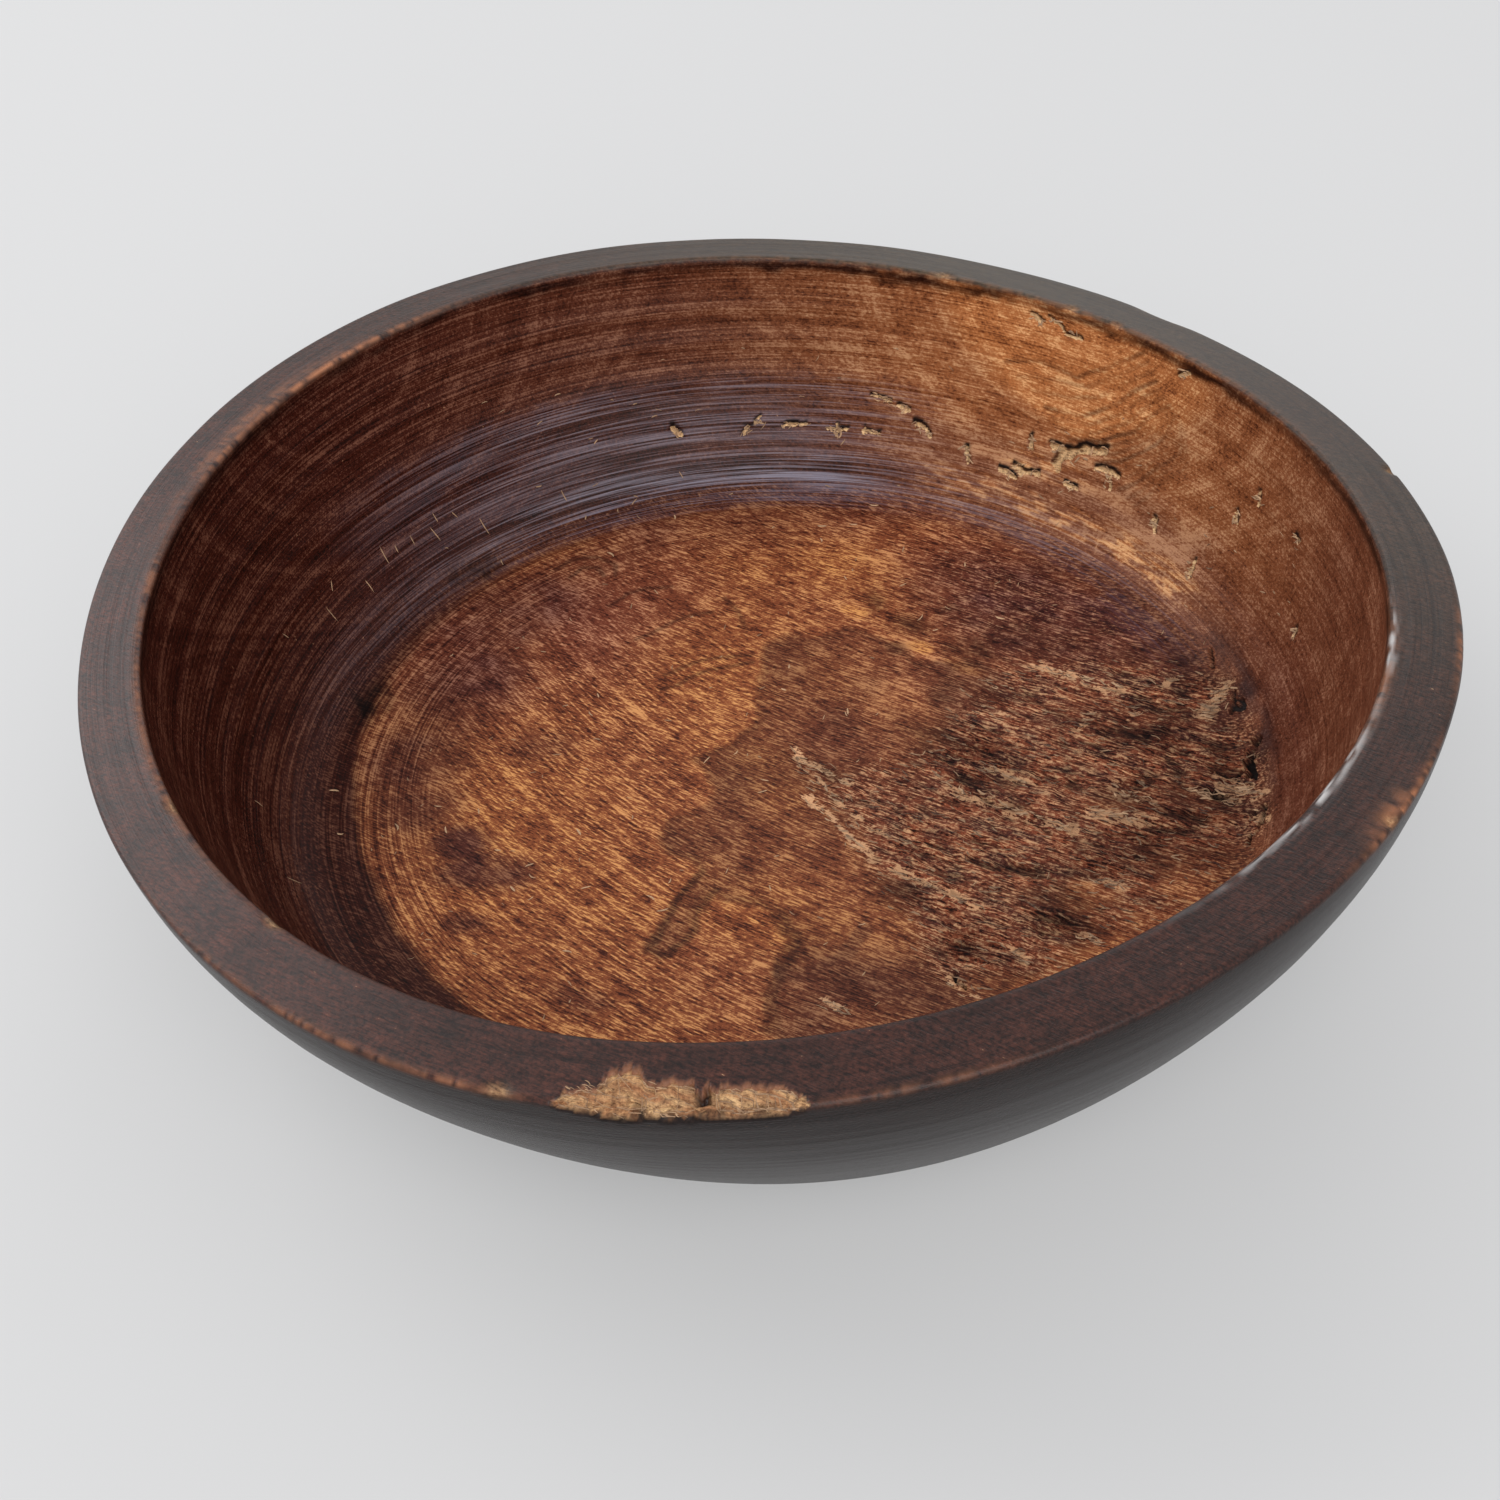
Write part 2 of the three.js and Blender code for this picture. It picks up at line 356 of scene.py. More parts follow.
glow = patches(
    (62, 128, 17, 11, -35, 0.7), (48, 98, 5, 10, 40, 0.9), (72, 69, 8, 6, -30, 0.9),
    (88, 53, 12, 5, -40, 0.75), (109, 36, 11, 5, -35, 0.7), (54, -34, 9, 6, -50, 0.8),
    (57, -87, 9, 6, -20, 0.8), (52, 44, 18, 12, -60, 0.5), (-140, 30, 14, 8, 80, 0.3),
    (-60, 142, 26, 8, 15, 0.35), (15, -96, 14, 9, 0, 0.5), (88, -118, 8, 5, 0, 0.4))

# How golden or dark the wood is: golden on the right of the wall and dark on the left.
wall_gold = np.interp(turn_degrees, (-90, -30, 0, 12, 28, 45, 60, 75, 92, 118, 140, 215, 270),
                      (0.15, 0.15, 0.2, 0.38, 0.68, 0.82, 0.75, 0.48, 0.2, 0.1, 0, 0, 0.15))
wall_gold += 0.25 * round_turn(46, 24) * (1 - 2 * ease(52, 66, wall_ring + 3 * fuzz[:, 0]))
lens_outline = np.multiply((
    (53.5, 57), (49.5, 54.5), (44.6, 56.3), (41.2, 48), (38, 55), (38.5, 66), (40, 78), (44, 81), (48.7, 77),
    (51, 73), (52.8, 66),
), (WALL_DEGREE, 1))
lens = ease(-2, 3, depth_in(lens_outline, wall_place)) * on_wall
wall_gold *= 1 - 0.35 * ease(84, 108, down)
wall_gold += 0.3 * lens
wall_dark = np.interp(turn_degrees, (-90, -40, 62, 92, 112, 132, 152, 215, 270),
                      (0.3, 0.1, 0, 0.42, 0.62, 0.85, 1, 1, 0.3))
floor_gold = 0.75 - patches(
    (-150, 25, 70, 28, 80, 0.15), (-95, 105, 75, 45, 30, 0.45), (0, 162, 120, 20, 0, 0.2),
    (116, 92, 60, 40, -45, 0.35), (120, 0, 90, 90, 0, 0.25))
floor_gold += 0.16 * wander(grain_cells(60, 30), 21)
gold = np.clip(wall_gold * (1 - on_floor) + np.maximum(floor_gold, glow) * on_floor, 0, 1)

# The wood is darker in the corner between the wall and the floor, and a painted shade lies in a band under
# the mouth's edge.
corner_end = np.interp(turn_degrees, (-90, 20, 60, 110, 155, 195, 245, 270),
                       (146, 143, 144, 144, 146, 158, 156, 146))
corner = ease(122, 134, down) * (1 - ease(corner_end - 6, corner_end + 2, down + 1.5 * fuzz[:, 0]))
corner_dark = np.interp(turn_degrees, (-90, -60, 20, 60, 110, 140, 160, 235, 270),
                        (0.5, 0.4, 0.3, 0.2, 0.4, 0.8, 0.95, 1, 0.5))
dark = wall_dark * (1 - on_floor) + corner_dark * corner + patches((-150, 25, 62, 26, 80, 0.3))
# The painted shade in a band under the mouth's edge
painted_edge_shade = band(28 - 1.4 * fuzz[:, 1] - 1.2 * fine_fuzz[:, 1], 2.8) * patchy(0.75, 0.55, 4, 3, 19)
dark = np.clip(np.maximum(dark, 0.95 * painted_edge_shade), 0, 1)

# The bluish painted sheen, in place of the room's reflection in the flutes, is thickest over the wall's foot
# at the back, with a thin haze above it and a second band.
sheen_middle = np.interp(turn_degrees, (0, 25, 45, 62, 110, 200), (140, 136, 131, 122, 123, 130))
sheen_share = np.interp(turn_degrees, (8, 20, 40, 62, 75, 105, 125, 145, 170),
                       (0, 0.3, 0.35, 0.55, 1, 0.9, 0.45, 0.15, 0))
painted_sheen = sheen_share * band(sheen_middle, 11)
haze_share = np.interp(turn_degrees, (58, 75, 105, 128, 145), (0, 0.55, 0.55, 0.25, 0))
painted_sheen = np.maximum(painted_sheen, haze_share * ease(74, 84, down + 2 * fuzz[:, 0]))
upper_share = np.interp(turn_degrees, (62, 78, 95, 115, 130, 145), (0, 0.35, 0.6, 0.5, 0.2, 0))
painted_sheen = np.maximum(painted_sheen, upper_share * band(88, 7))
painted_sheen *= inside * (1 - ease(134, 142, down) * (turn_degrees > 30))

# Torn wood
# Damp, rot and insects have broken the right of the floor into fibres, opened cracks along the wall's foot
# and left winding channels in the wall.
torn_outline = [(8, 14), (34, -2), (62, 8), (84, 40), (104, 58), (132, 52), (168, 44), (190, 24), (190, -20),
                (186, -60), (160, -86), (120, -112), (80, -126), (46, -122), (38, -92), (32, -60), (14, -14)]
torn = ease(-10, 22, depth_in(torn_outline, plan_place))
torn *= 0.78 + 0.55 * wander(grain_cells(22, 12), 31)
torn = np.maximum(torn, 0.25 * patches((120, 84, 66, 38, -48, 1)))
torn = np.clip(torn, 0, 1) * ease(120, 128, down)

# A flaky strip along the right of the wall's foot, with bright streaks in it
flaky = band(119, 8) * ease(14, 24, turn_degrees) * (1 - ease(58, 68, turn_degrees))
flaky = np.maximum(flaky, 0.9 * round_turn(46, 8) * band(100, 9))
streak_cells = np.stack([turn_degrees / 1.6 + down / 5, down / 1.1], 1)
streaky = flaky * np.clip(0.5 + 1.1 * wander(streak_cells, 44), 0, 1)
flaky *= patchy(0.6, 0.7, 4, 2.2, 32)

# Thin layers have broken away from the torn floor along the grain, and leave ledges, and slots painted dark
# as the shade in them.
LAYERS = 2.2  # in a unit of height
fray = grain_cells(12, 2.6)
fray += 0.4 * np.stack([wander(solid_place / 7, 33), wander(solid_place / 7, 37)], 1)
frayed = wander(fray, 34) + 0.55 * wander(2.3 * fray, 35) + 0.3 * wander(4.9 * fray, 38)
lumps = wander(solid_place / 6.5, 36)
layer = LAYERS * (0.8 * frayed + 0.5 * lumps)
ledge = layer - np.floor(layer)
layered = (np.floor(layer) + ease(0.5, 1, ledge)) / LAYERS
torn_sink = torn * np.clip(1.2 - 0.75 * layered - 0.6 * frayed, 0, 3.5)
slots = torn * ease(0.35, 0.95, -layered)

# Clusters of pale torn fibres: a path over the floor, how wide they spread, how many stand up, how pale
clusters = (
    (((116, 50), (128, 42), (145, 28)), 2.6, 23, 1),
    (((10, 13), (18, 5), (30, -8)), 2.5, 17, 0.9),
    (((12, -12), (22, -30), (33, -52)), 2, 15, 0.9),
    (((18, -5), (28, -22), (38, -38)), 1.6, 10, 0.7),
    (((40, -58), (54, -70), (68, -82)), 2.4, 15, 0.8),
    (((70, -18), (88, -32), (110, -47)), 3, 32, 0.9),
    (((85, -8), (100, -20)), 2, 10, 0.8),
    (((118, -39), (138, -47)), 3.6, 22, 0.9),
    (((130, -30), (141, -39)), 2.4, 10, 0.9),
    (((160, -36), (172, -44)), 3.4, 20, 0.9),
    (((171, -31), (182, -48)), 3.4, 20, 0.9),
    (((175, -54), (178, -61)), 2, 8, 1),
    (((174, 5), (186, 18)), 3.4, 30, 0.8),
    (((163, 28), (170, 31)), 1.6, 7, 1),
    (((140, 28), (147, 31)), 1.4, 5, 0.9),
    (((125, 8), (132, 16)), 2, 8, 0.8),
    (((147, 11), (150, 13)), 1.4, 4, 0.9),
    (((113, 22), (117, 21)), 1.4, 4, 0.8),
    (((5, -120), (12, -128)), 2, 8, 0.9),
    (((50, -118), (60, -126)), 2, 9, 0.9),
    (((100, -103), (107, -108)), 1.8, 7, 0.8),
    (((75, -106), (80, -115)), 1.8, 7, 0.7),
    (((110, -75), (122, -82)), 2.6, 9, 0.6),
)
pale = np.zeros_like(turn)
for tear_path, spread, _, paleness in clusters:
    pale = np.maximum(pale, paleness * near(tear_path, 0.4 * spread, 1.8 * spread, plan_place))
ragged = wander(grain_cells(5, 1.6), 39) + 0.5 * wander(solid_place / 1.9, 40)
pale = np.clip(pale * (1 + 0.9 * ragged), 0, 1)
crests = torn * ease(0.45, 1, layered) * np.clip(0.5 + wander(solid_place / 12, 42), 0, 1)

# Insects' channels in the wall, each a path of (degrees of turn, down the wall), a width and a depth. A
# painted shadow lies along the upper edge of each.
channels = (
    (((39.4, 83), (40.5, 86), (42, 85.5), (43.5, 90), (44.6, 92), (45, 99)), 3.4, 2.2),
    (((43.8, 91), (46.2, 89.5)), 2.6, 1.6),
    (((47, 104), (49, 105.5), (50.5, 104)), 2.2, 1.2),
    (((41.5, 105), (43.5, 104)), 2, 1),
    (((36.6, 91), (39.6, 92)), 2.2, 1),
    (((37.8, 92), (37.6, 99)), 1.6, 0.8),
    (((49.2, 89), (48.9, 95)), 2.2, 1.8),
    (((64.2, 96), (62.6, 97.5), (61.8, 101)), 2.2, 1.1),
    (((57, 103), (56.6, 109)), 2.4, 1.3),
    (((52, 108), (49.8, 109.5)), 2.6, 1.2),
    (((94.6, 101), (93.8, 103)), 2.4, 1.3),
    (((85.8, 106), (85, 102.5)), 2, 1),
    (((84.3, 102), (83.6, 98)), 1.4, 0.7),
    (((80.6, 102.5), (79, 101.5), (77.4, 102)), 1.4, 0.8),
    (((75, 103), (72.6, 103)), 1.4, 0.8),
    (((73.9, 100.5), (73.8, 105.5)), 1.4, 0.8),
    (((70.2, 102), (70, 104), (68.4, 104)), 1.5, 0.8),
    (((69.4, 86.5), (67.4, 87.5)), 1.6, 1.4),
    (((66.4, 89), (65, 91)), 1.8, 0.8),
    (((44.6, 37.5), (46.4, 37), (47.4, 34.5), (48.6, 33)), 1.7, 0.8),
    (((49.4, 35.5), (50.8, 34.5)), 1.6, 0.7),
    (((31.4, 34), (30.6, 31)), 2, 0.7),
    (((19.4, 75), (18.8, 78.5)), 2.2, 1),
    (((17.2, 61), (16.8, 65)), 1.8, 0.7),
    (((9.6, 63), (8.4, 63.5)), 2, 0.8),
    (((2.6, 91), (2.2, 94)), 2, 0.8),
    (((22.2, 106), (21.8, 113)), 1.6, 1.2),
    (((30, 101), (29.6, 106)), 2, 0.9),
)
bored = np.zeros_like(turn)
bored_sink = np.zeros_like(turn)
channel_shadow = np.zeros_like(turn)
for bore_path, width, depth in channels:
    channel = np.multiply(bore_path, (WALL_DEGREE, 1))
    gap = gap_to(channel, wall_place)
    bored = np.maximum(bored, 1 - ease(0.1 * width, 0.85 * width, gap))
    dug = 1 - ease(0.2 * width, 0.8 * width, gap + 0.5 * ragged)
    bored_sink = np.maximum(bored_sink, 1.3 * depth * dug)
    # A painted shadow along each channel's upper edge
    above = gap_to(channel, wall_place + (0, 0.7 * width))
    channel_shadow = np.maximum(channel_shadow, 1 - ease(0.2 * width, 0.9 * width, above))
channel_shadow *= 1 - bored

# Cracks where the floor has rotted away from the wall, painted black as the shade in them, each a path over
# the floor, a width and a depth
cracks = (
    (((188, -17), (184, -22), (180, -31)), 3.2, 4),
    (((176, -30), (170, -26)), 1.8, 2),
    (((166, -36), (168, -41)), 2.4, 3),
    (((185, 31), (187, 38)), 2, 3),
    (((180, -52), (176, -62), (170, -68)), 2, 2.5),
    (((186, 2), (188, 10)), 1.8, 2),
    (((53, -117), (55, -121)), 2, 2),
)
crack = np.zeros_like(turn)
crack_sink = np.zeros_like(turn)
crack_place = plan_place + 2.2 * fine_fuzz
for crack_path, width, depth in cracks:
    split = ease(0.35, 0.6, near(crack_path, 0.1 * width, width, crack_place) + 0.25 * ragged)
    crack = np.maximum(crack, split)
    crack_sink = np.maximum(crack_sink, depth * split)

# Edges rubbed by hands down to coppery wood, a band and its stretches of (middle turn, half length, share),
# then stretches of the mouth's edge where a pale painted highlight stands in for the shine of its smooth
# lacquer, and nicks knocked out
rubbed = np.zeros_like(turn)
for rubbed_band, stretches in (
        (band(23.4, 1.9), ((134, 13, 1), (150, 8, 0.6), (190, 26, 0.4), (172, 8, 0.45), (40, 30, 0.25),
                           (333, 9, 0.5), (75, 20, 0.15))),
        (band(0.6, 1.6), ((232, 9, 0.45), (243, 4, 0.5), (218, 7, 0.3), (340, 5, 0.6), (320, 5.5, 0.95),
                          (275, 6, 0.3))),
        (band(19, 3), ((146, 14, 0.4),)),
        (band(2, 4), ((318.5, 3, 0.6),))):
    for middle, half_length, share in stretches:
        rubbed = np.maximum(rubbed, share * round_turn(middle, half_length) * rubbed_band)
rubbed *= patchy(0.65, 0.9, 0.4, 4, 41)
# A painted highlight: pale grey stretches of the mouth's edge that stand in for the shine of the lacquer
painted_highlight = np.maximum(round_turn(338, 4.5), round_turn(316.5, 11)) * band(23.4, 1.8)
painted_highlight *= patchy(0.5, 1, 1.5, 1, 43)
nicks = np.zeros_like(turn)
for middle, half_length, at in (
        (61.2, 0.8, 23), (46.2, 0.6, 23), (40.6, 0.5, 23.5), (203, 0.9, 24), (221, 0.7, 24), (246, 0.7, 1),
        (317.5, 0.5, 1.5), (39, 2.2, -0.5), (6, 0.5, 1)):
    nicks = np.maximum(nicks, round_turn(middle, half_length) * band(at, 2.2))

# The splintered chip out of the rim's outer edge. Its reach in over the rim's top changes along it, and it
# has a gap near its middle, painted dark as the shade in it.
CHIP_TURN = math.radians(259)
CHIP_WIDTH = 13
CHIP_DEPTH = 5
CHIP_LEAST = 0.02  # share of its full reach, below which the edge is whole
chip_off = np.angle(np.exp(1j * (turn - CHIP_TURN))) * RIM_RADIUS


def chip_cells(long):
    """Places in cells this long along the chip."""
    return np.stack([chip_off / long, np.zeros_like(turn)], 1)


chip_fuzz = chip_off + 1.2 * wander(solid_place / 2.5, 50)
chip_reach = np.interp(chip_fuzz, (-39, -36, -30, -27, -22, -14, -5, 3, 5.5, 8, 16, 22, 30, 36, 39),
                       (0, 0.35, 0.45, 0.5, 1, 0.95, 0.75, 0.7, 0.4, 0.7, 0.65, 0.55, 0.5, 0.3, 0))
chip_reach *= 1 + 0.22 * wander(chip_cells(3.4), 51) + 0.1 * wander(chip_cells(1), 52)
chip_share = (CHIP_WIDTH * chip_reach - down) / np.maximum((CHIP_WIDTH + CHIP_DEPTH) * chip_reach, 1e-6)
chipped = (chip_reach > CHIP_LEAST) & (chip_share > 0) & (chip_share < 1)
chip_bend = np.where(chipped, chip_share, 0) * np.pi / 2
over_top = along((0, 0), np.subtract(mouth_edge, rim_edge), 1)
down_side = along((0, 0), np.subtract(shoulder, rim_edge), 1)
chip_section = np.array(rim_edge) + np.outer(CHIP_WIDTH * chip_reach * np.cos(chip_bend), over_top)
chip_section += np.outer(CHIP_DEPTH * chip_reach * np.sin(chip_bend), down_side)
chip_fray = wander(np.stack([lengthwise / 5, crosswise / 1.3, height / 1.6], 1), 53)
bare_chip = np.where(chipped, ease(0, 0.12, chip_share) * ease(0, 0.08, 1 - chip_share), 0)
chip_gap = np.where(chipped, np.exp(-((chip_fuzz - 6) / 2.4) ** 2) * (1 - ease(0.4, 0.7, chip_share)), 0)
chip_fringe = (chip_reach > CHIP_LEAST) * ease(-0.14, 0.02, chip_share) * (1 - ease(0.05, 0.3, chip_share))
# Notches low in the chip, painted dark as the shade in them
chip_notch = np.where(chipped, ease(0.6, 0.95, chip_share), 0)
chip_notch *= ease(0, 0.5, wander(chip_cells(3), 54))

# Flutes that the gouge left on the wall, and furrows along the grain of the floor
RIDGES = (27, 47, 62, 79, 94, 111, 133)  # down from the rim's outer edge
FLUTE_DEPTH = 0.45
TOOL_DEPTH = 0.09
FURROW_DEPTH = 0.16
HAND_DEPTH = 0.25  # of slow waves in work turned by hand
NICK_DEPTH = 1.6
RUBBED_DEPTH = 0.5
flute = np.zeros_like(turn)
ridge_down = down + 1.2 * wander(np.stack([np.cos(turn) * 2, np.sin(turn) * 2], 1), 61)
for upper, lower in zip(RIDGES, RIDGES[1:]):
    flute += FLUTE_DEPTH * np.sin(np.pi * np.clip((ridge_down - upper) / (lower - upper), 0, 1))
tool_lines = wander(np.stack([down / 2.1, 3 * np.cos(turn), 3 * np.sin(turn)], 1), 62)
furrow = wander(grain_cells(45, 3.1), 63)

# How far each point sinks below the plain turned form
sink = flute * on_wall + TOOL_DEPTH * (1 + tool_lines)
sink += FURROW_DEPTH * (1 + furrow) * on_floor * (1 - torn)
sink += HAND_DEPTH * (1 + wander(solid_place / 45, 64))
sink += torn_sink + flaky * 0.7 * (1 + lumps) + 0.4 * pale
sink += bored_sink + crack_sink
sink += NICK_DEPTH * nicks + RUBBED_DEPTH * rubbed
sink += np.where(chipped, 0.8 * (1 + chip_fray) + 2 * chip_gap + chip_notch, 0)
sink *= ease(0, 6, height) * ease(0, 20, radius)

# Drying has drawn the round bowl in across the grain and bent its rim like a saddle.
RIM_OVAL = 7.5
RIM_SADDLE = 8


def dried(reach, rise, at_turn):
    """Where drying left points of the round bowl, in metres."""
    off_grain = at_turn - GRAIN_TURN
    long = reach * np.cos(off_grain) * (1 + RIM_OVAL / RIM_RADIUS)
    wide = reach * np.sin(off_grain) * (1 - RIM_OVAL / RIM_RADIUS)
    share = (reach / RIM_RADIUS) ** 2 * rise / RIM_HEIGHT
    return MM * np.stack([
        long * math.cos(GRAIN_TURN) - wide * math.sin(GRAIN_TURN),
        long * math.sin(GRAIN_TURN) + wide * math.cos(GRAIN_TURN),
        rise + RIM_SADDLE * share * np.cos(2 * off_grain),
    ], -1)


point_section = np.where(chipped[:, None], chip_section, np.stack([radius, height], 1))
point_section = point_section - outward * sink[:, None]
bowl_points = dried(point_section[:, 0], point_section[:, 1], turn).tolist()
bowl_faces = np.concatenate(quads).tolist() + np.concatenate(triangles).tolist()


def add_piece(name, points, faces):
    """Makes an object from points and faces, and gives it and its mesh."""
    mesh = bpy.data.meshes.new(name)
    mesh.from_pydata(points, [], faces)
    piece = bpy.data.objects.new(name, mesh)
    bpy.context.collection.objects.link(piece)
    return piece, mesh


bowl, bowl_mesh = add_piece("turned_bowl", bowl_points, bowl_faces)
bowl_mesh.shade_smooth()

# Nested dark arcs on the right of the wall, where wide rings end. Two fainter ones lie between each pair,
# and more follow the last.
ARC_STEPS = 15
arcs = np.multiply((
    ((53.5, 58), (49.5, 53.6), (44.6, 55.3), (41.2, 46.9), (36.7, 32)),
    ((48, 74), (43.2, 72), (39.9, 62.8), (37.2, 51.4), (34.6, 42)),
    ((44, 84), (40, 79), (36.2, 69.5), (34.2, 57.7), (32.4, 49.6)),
    ((40, 90), (37, 84.5), (34.4, 76), (31.9, 62.8), (31.4, 52.4)),
), (WALL_DEGREE, 1))
arc_place = np.stack([turn_degrees * WALL_DEGREE, down], 1) + 0.6 * fuzz
bows = np.zeros_like(turn)
for step in range(ARC_STEPS):
    inner = min(step // 3, len(arcs) - 2)
    arc = arcs[inner] + (step / 3 - inner) * (arcs[inner + 1] - arcs[inner])
    strength = (0.85 if step % 3 == 0 else 0.45) * (1 if step < 10 else 0.6)
    bows = np.maximum(bows, strength * near(arc, 0.3, 1.7, arc_place))
bows *= np.clip(0.8 + 0.7 * wander(solid_place / 14, 66), 0, 1) * on_wall

# Arches of the rings' figure on the floor
arches = (
    ((-38, 60), (-32, 61), (-27, 65), (-20, 68), (-10, 70.5), (1, 71)),
    ((-36, 69), (-27, 73), (-20, 75.5), (-10, 77), (1, 76)),
    ((-46, 94), (-36, 99), (-28, 104), (-20, 107), (-12, 107)),
    ((-56, 118), (-47, 125), (-38, 128), (-28, 127)),
    ((-6, 116), (-1, 106), (1, 94)),
    ((-78, 146), (-70, 152), (-58, 152), (-51, 146), (-52, 138)),
    ((-72, 140), (-66, 146), (-59, 145), (-57, 139)),
)
arch_place = np.stack([plan_x, plan_y], 1) + 0.8 * fuzz
arched = np.zeros_like(turn)
for arch in arches:
    arched = np.maximum(arched, 0.65 * near(arch, 0.3, 1.9, arch_place) * on_floor)

# How strongly tool lines, figure, rings and fibres show. The floor has tool lines only along its edge.
edge_share = np.interp(turn_degrees, (40, 70, 110, 140, 235, 250, 268), (0, 0.6, 0.6, 1, 1, 0.4, 0))
edge_lines = ease(125, 150, radius) * edge_share
wall_lines = np.interp(turn_degrees, (40, 70, 95, 215, 270), (0.5, 0.8, 1, 1, 0.5))
floor_figure = (1 - 0.7 * edge_lines) * np.interp(plan_x, (-60, 30), (1, 0.6))
wall_figure = np.interp(turn_degrees, (0, 25, 215, 270), (0.5, 1, 1, 0.5))
figure = np.where(on_floor > 0.5, floor_figure, wall_figure) * (1 - band(130, 9))
floor_hatch = np.interp(plan_x, (-60, 30), (0.7, 0.95))
ring_share = 1.15 * np.exp(-((plan_x + 62) / 70) ** 2) * (1 - ease(55, 105, plan_y))
worn = on_floor * (1 - corner) * (1 - 0.6 * edge_lines) * np.interp(plan_x, (-60, 30), (1, 0.45))
# Painted shade in the cracks, the slots, the chip's gap and notches, and along the channels' upper edges
painted_hollow_shade = np.maximum.reduce([crack, 0.7 * slots, 0.8 * chip_gap, 0.7 * chip_notch, 1.5 * channel_shadow])
rim_top = ease(-3, 1, down) * (1 - inside)

# What the material reads at each point: shares of finishes, stains, patterns, painted shade, painted sheen
# and a painted highlight, and the place in the rings
marks = {
    "coat": 1 - inside,
    "gold": np.clip(np.maximum(gold, 1.2 * streaky), 0, 1),
    "dark": dark,
    "painted_sheen": painted_sheen,
    "stain": stain,
    "tide": np.maximum.reduce([tide, bows, arched]),
    "wine_and_shade": np.clip(wine_and_shade, 0, 1),
    "soot_and_shade": np.clip(np.maximum(soot_and_shade, 0.8 * painted_edge_shade), 0, 1),
    "glow": np.maximum.reduce([glow, 1.2 * streaky, 0.4 * lens, 1.5 * wall_foot - 0.9 * wall_foot_wine]),
    "torn": np.maximum(torn, 0.3 * flaky),
    "pale": np.maximum.reduce([pale, 0.35 * flaky, 0.7 * crests]),
    "hollow": np.clip(painted_hollow_shade, 0, 1),
    "rubbed": np.maximum(rubbed, 0.5 * chip_fringe),
    "painted_highlight": painted_highlight,
    "bare": np.maximum.reduce([bare_chip * (1 - chip_gap), 0.65 * nicks]),
    "bored": bored,
    "figure": figure,
    "lines": np.where(on_floor > 0.5, edge_lines * on_floor, wall_lines) + 0.8 * streaky,
    "floor": on_floor,
    "worn": worn,
    "rings": ring_share * worn - 0.6 * (1 - on_floor) * np.maximum(0.3, round_turn(30, 36)),
    "hatch": np.where(on_floor > 0.5, floor_hatch, 0.55) * (1 - torn) + torn,
    "rim": rim_top * (0.58 + 0.42 * round_turn(165, 75)),
    "olive": rim_top * np.maximum(round_turn(60, 55), 0.6 * round_turn(5, 30)),
    "ring": ring_place * MM,
}
for name, values in marks.items():
    bowl_mesh.attributes.new(name, "FLOAT", "POINT").data.foreach_set("value", values.astype(np.float32))
grain_place = np.stack([lengthwise, crosswise, height], 1) * MM
fibre_place = np.stack([
    plan_x * math.cos(FIBRE_TURN) + plan_y * math.sin(FIBRE_TURN) + 1.5 * fuzz[:, 0],
    plan_y * math.cos(FIBRE_TURN) - plan_x * math.sin(FIBRE_TURN) + 0.6 * fuzz[:, 1],
    height,
], 1) * MM
lathe_place = np.stack([down * MM, np.cos(turn), np.sin(turn)], 1)
for name, values in (("grain", grain_place), ("fibres", fibre_place), ("lathe", lathe_place)):
    attribute = bowl_mesh.attributes.new(name, "FLOAT_VECTOR", "POINT")
    attribute.data.foreach_set("vector", values.astype(np.float32).ravel())


def linear(hex_colour):
    """An sRGB hex colour as the linear colour that a shader takes."""
    shares = [int(hex_colour[i:i + 2], 16) / 255 for i in (1, 3, 5)]
    return (*[s / 12.92 if s <= 0.04045 else ((s + 0.055) / 1.055) ** 2.4 for s in shares], 1)


def add_node(tree, kind, inputs=None, out=0, **settings):
    """Adds a shader node of this kind, sets or links its inputs, and gives one of its outputs."""
    node = tree.nodes.new("ShaderNode" + kind)
    for name, value in settings.items():
        setattr(node, name, value)
    for socket, value in (inputs or {}).items():
        if isinstance(value, bpy.types.NodeSocket):
            tree.links.new(value, node.inputs[socket])
        else:
            node.inputs[socket].default_value = value
    return node.outputs[out] if len(node.outputs) else node


def add_material(name):
    """Makes a material, and gives it and its node tree, still empty."""
    material = bpy.data.materials.new(name)
    material.use_nodes = True
    material.node_tree.nodes.clear()
    return material, material.node_tree


# Stained, lacquered hardwood: the finish lies glossy and dark over the rim and the outside, is worn thin
# to golden wood on the floor, and the fibres, rings and tool lines show through it.
# Fibres, streaks and specks are drawn coarser than the real ones, which are too fine to show.
RING_WIDTH = 2 * MM  # as the floor and the wall cut them
SEASONS = 11 * MM  # over which wide and narrow rings change
FIBRE_WIDTH = 0.7 * MM
FIBRE_LENGTH = 6 * MM
STREAK_WIDTH = 1.3 * MM
STREAK_LENGTH = 30 * MM
TEAR_WIDTH = 5 * MM
TEAR_LENGTH = 15 * MM
TOOL_LINE = 0.9 * MM
SPECK = 1.5 * MM
MOTTLE = 14 * MM
WAVE_PERIOD = math.pi / 10  # of a wave texture at a scale of 1

stained_wood, tree = add_material("stained_lacquered_hardwood")
mark = {name: add_node(tree, "Attribute", out=2, attribute_name=name) for name in marks}
grain = add_node(tree, "Attribute", out=1, attribute_name="grain")
fibres = add_node(tree, "Attribute", out=1, attribute_name="fibres")
lathe = add_node(tree, "Attribute", out=1, attribute_name="lathe")
place = add_node(tree, "TexCoord", out=3)
ring_vector = add_node(tree, "CombineXYZ", {0: mark["ring"]})

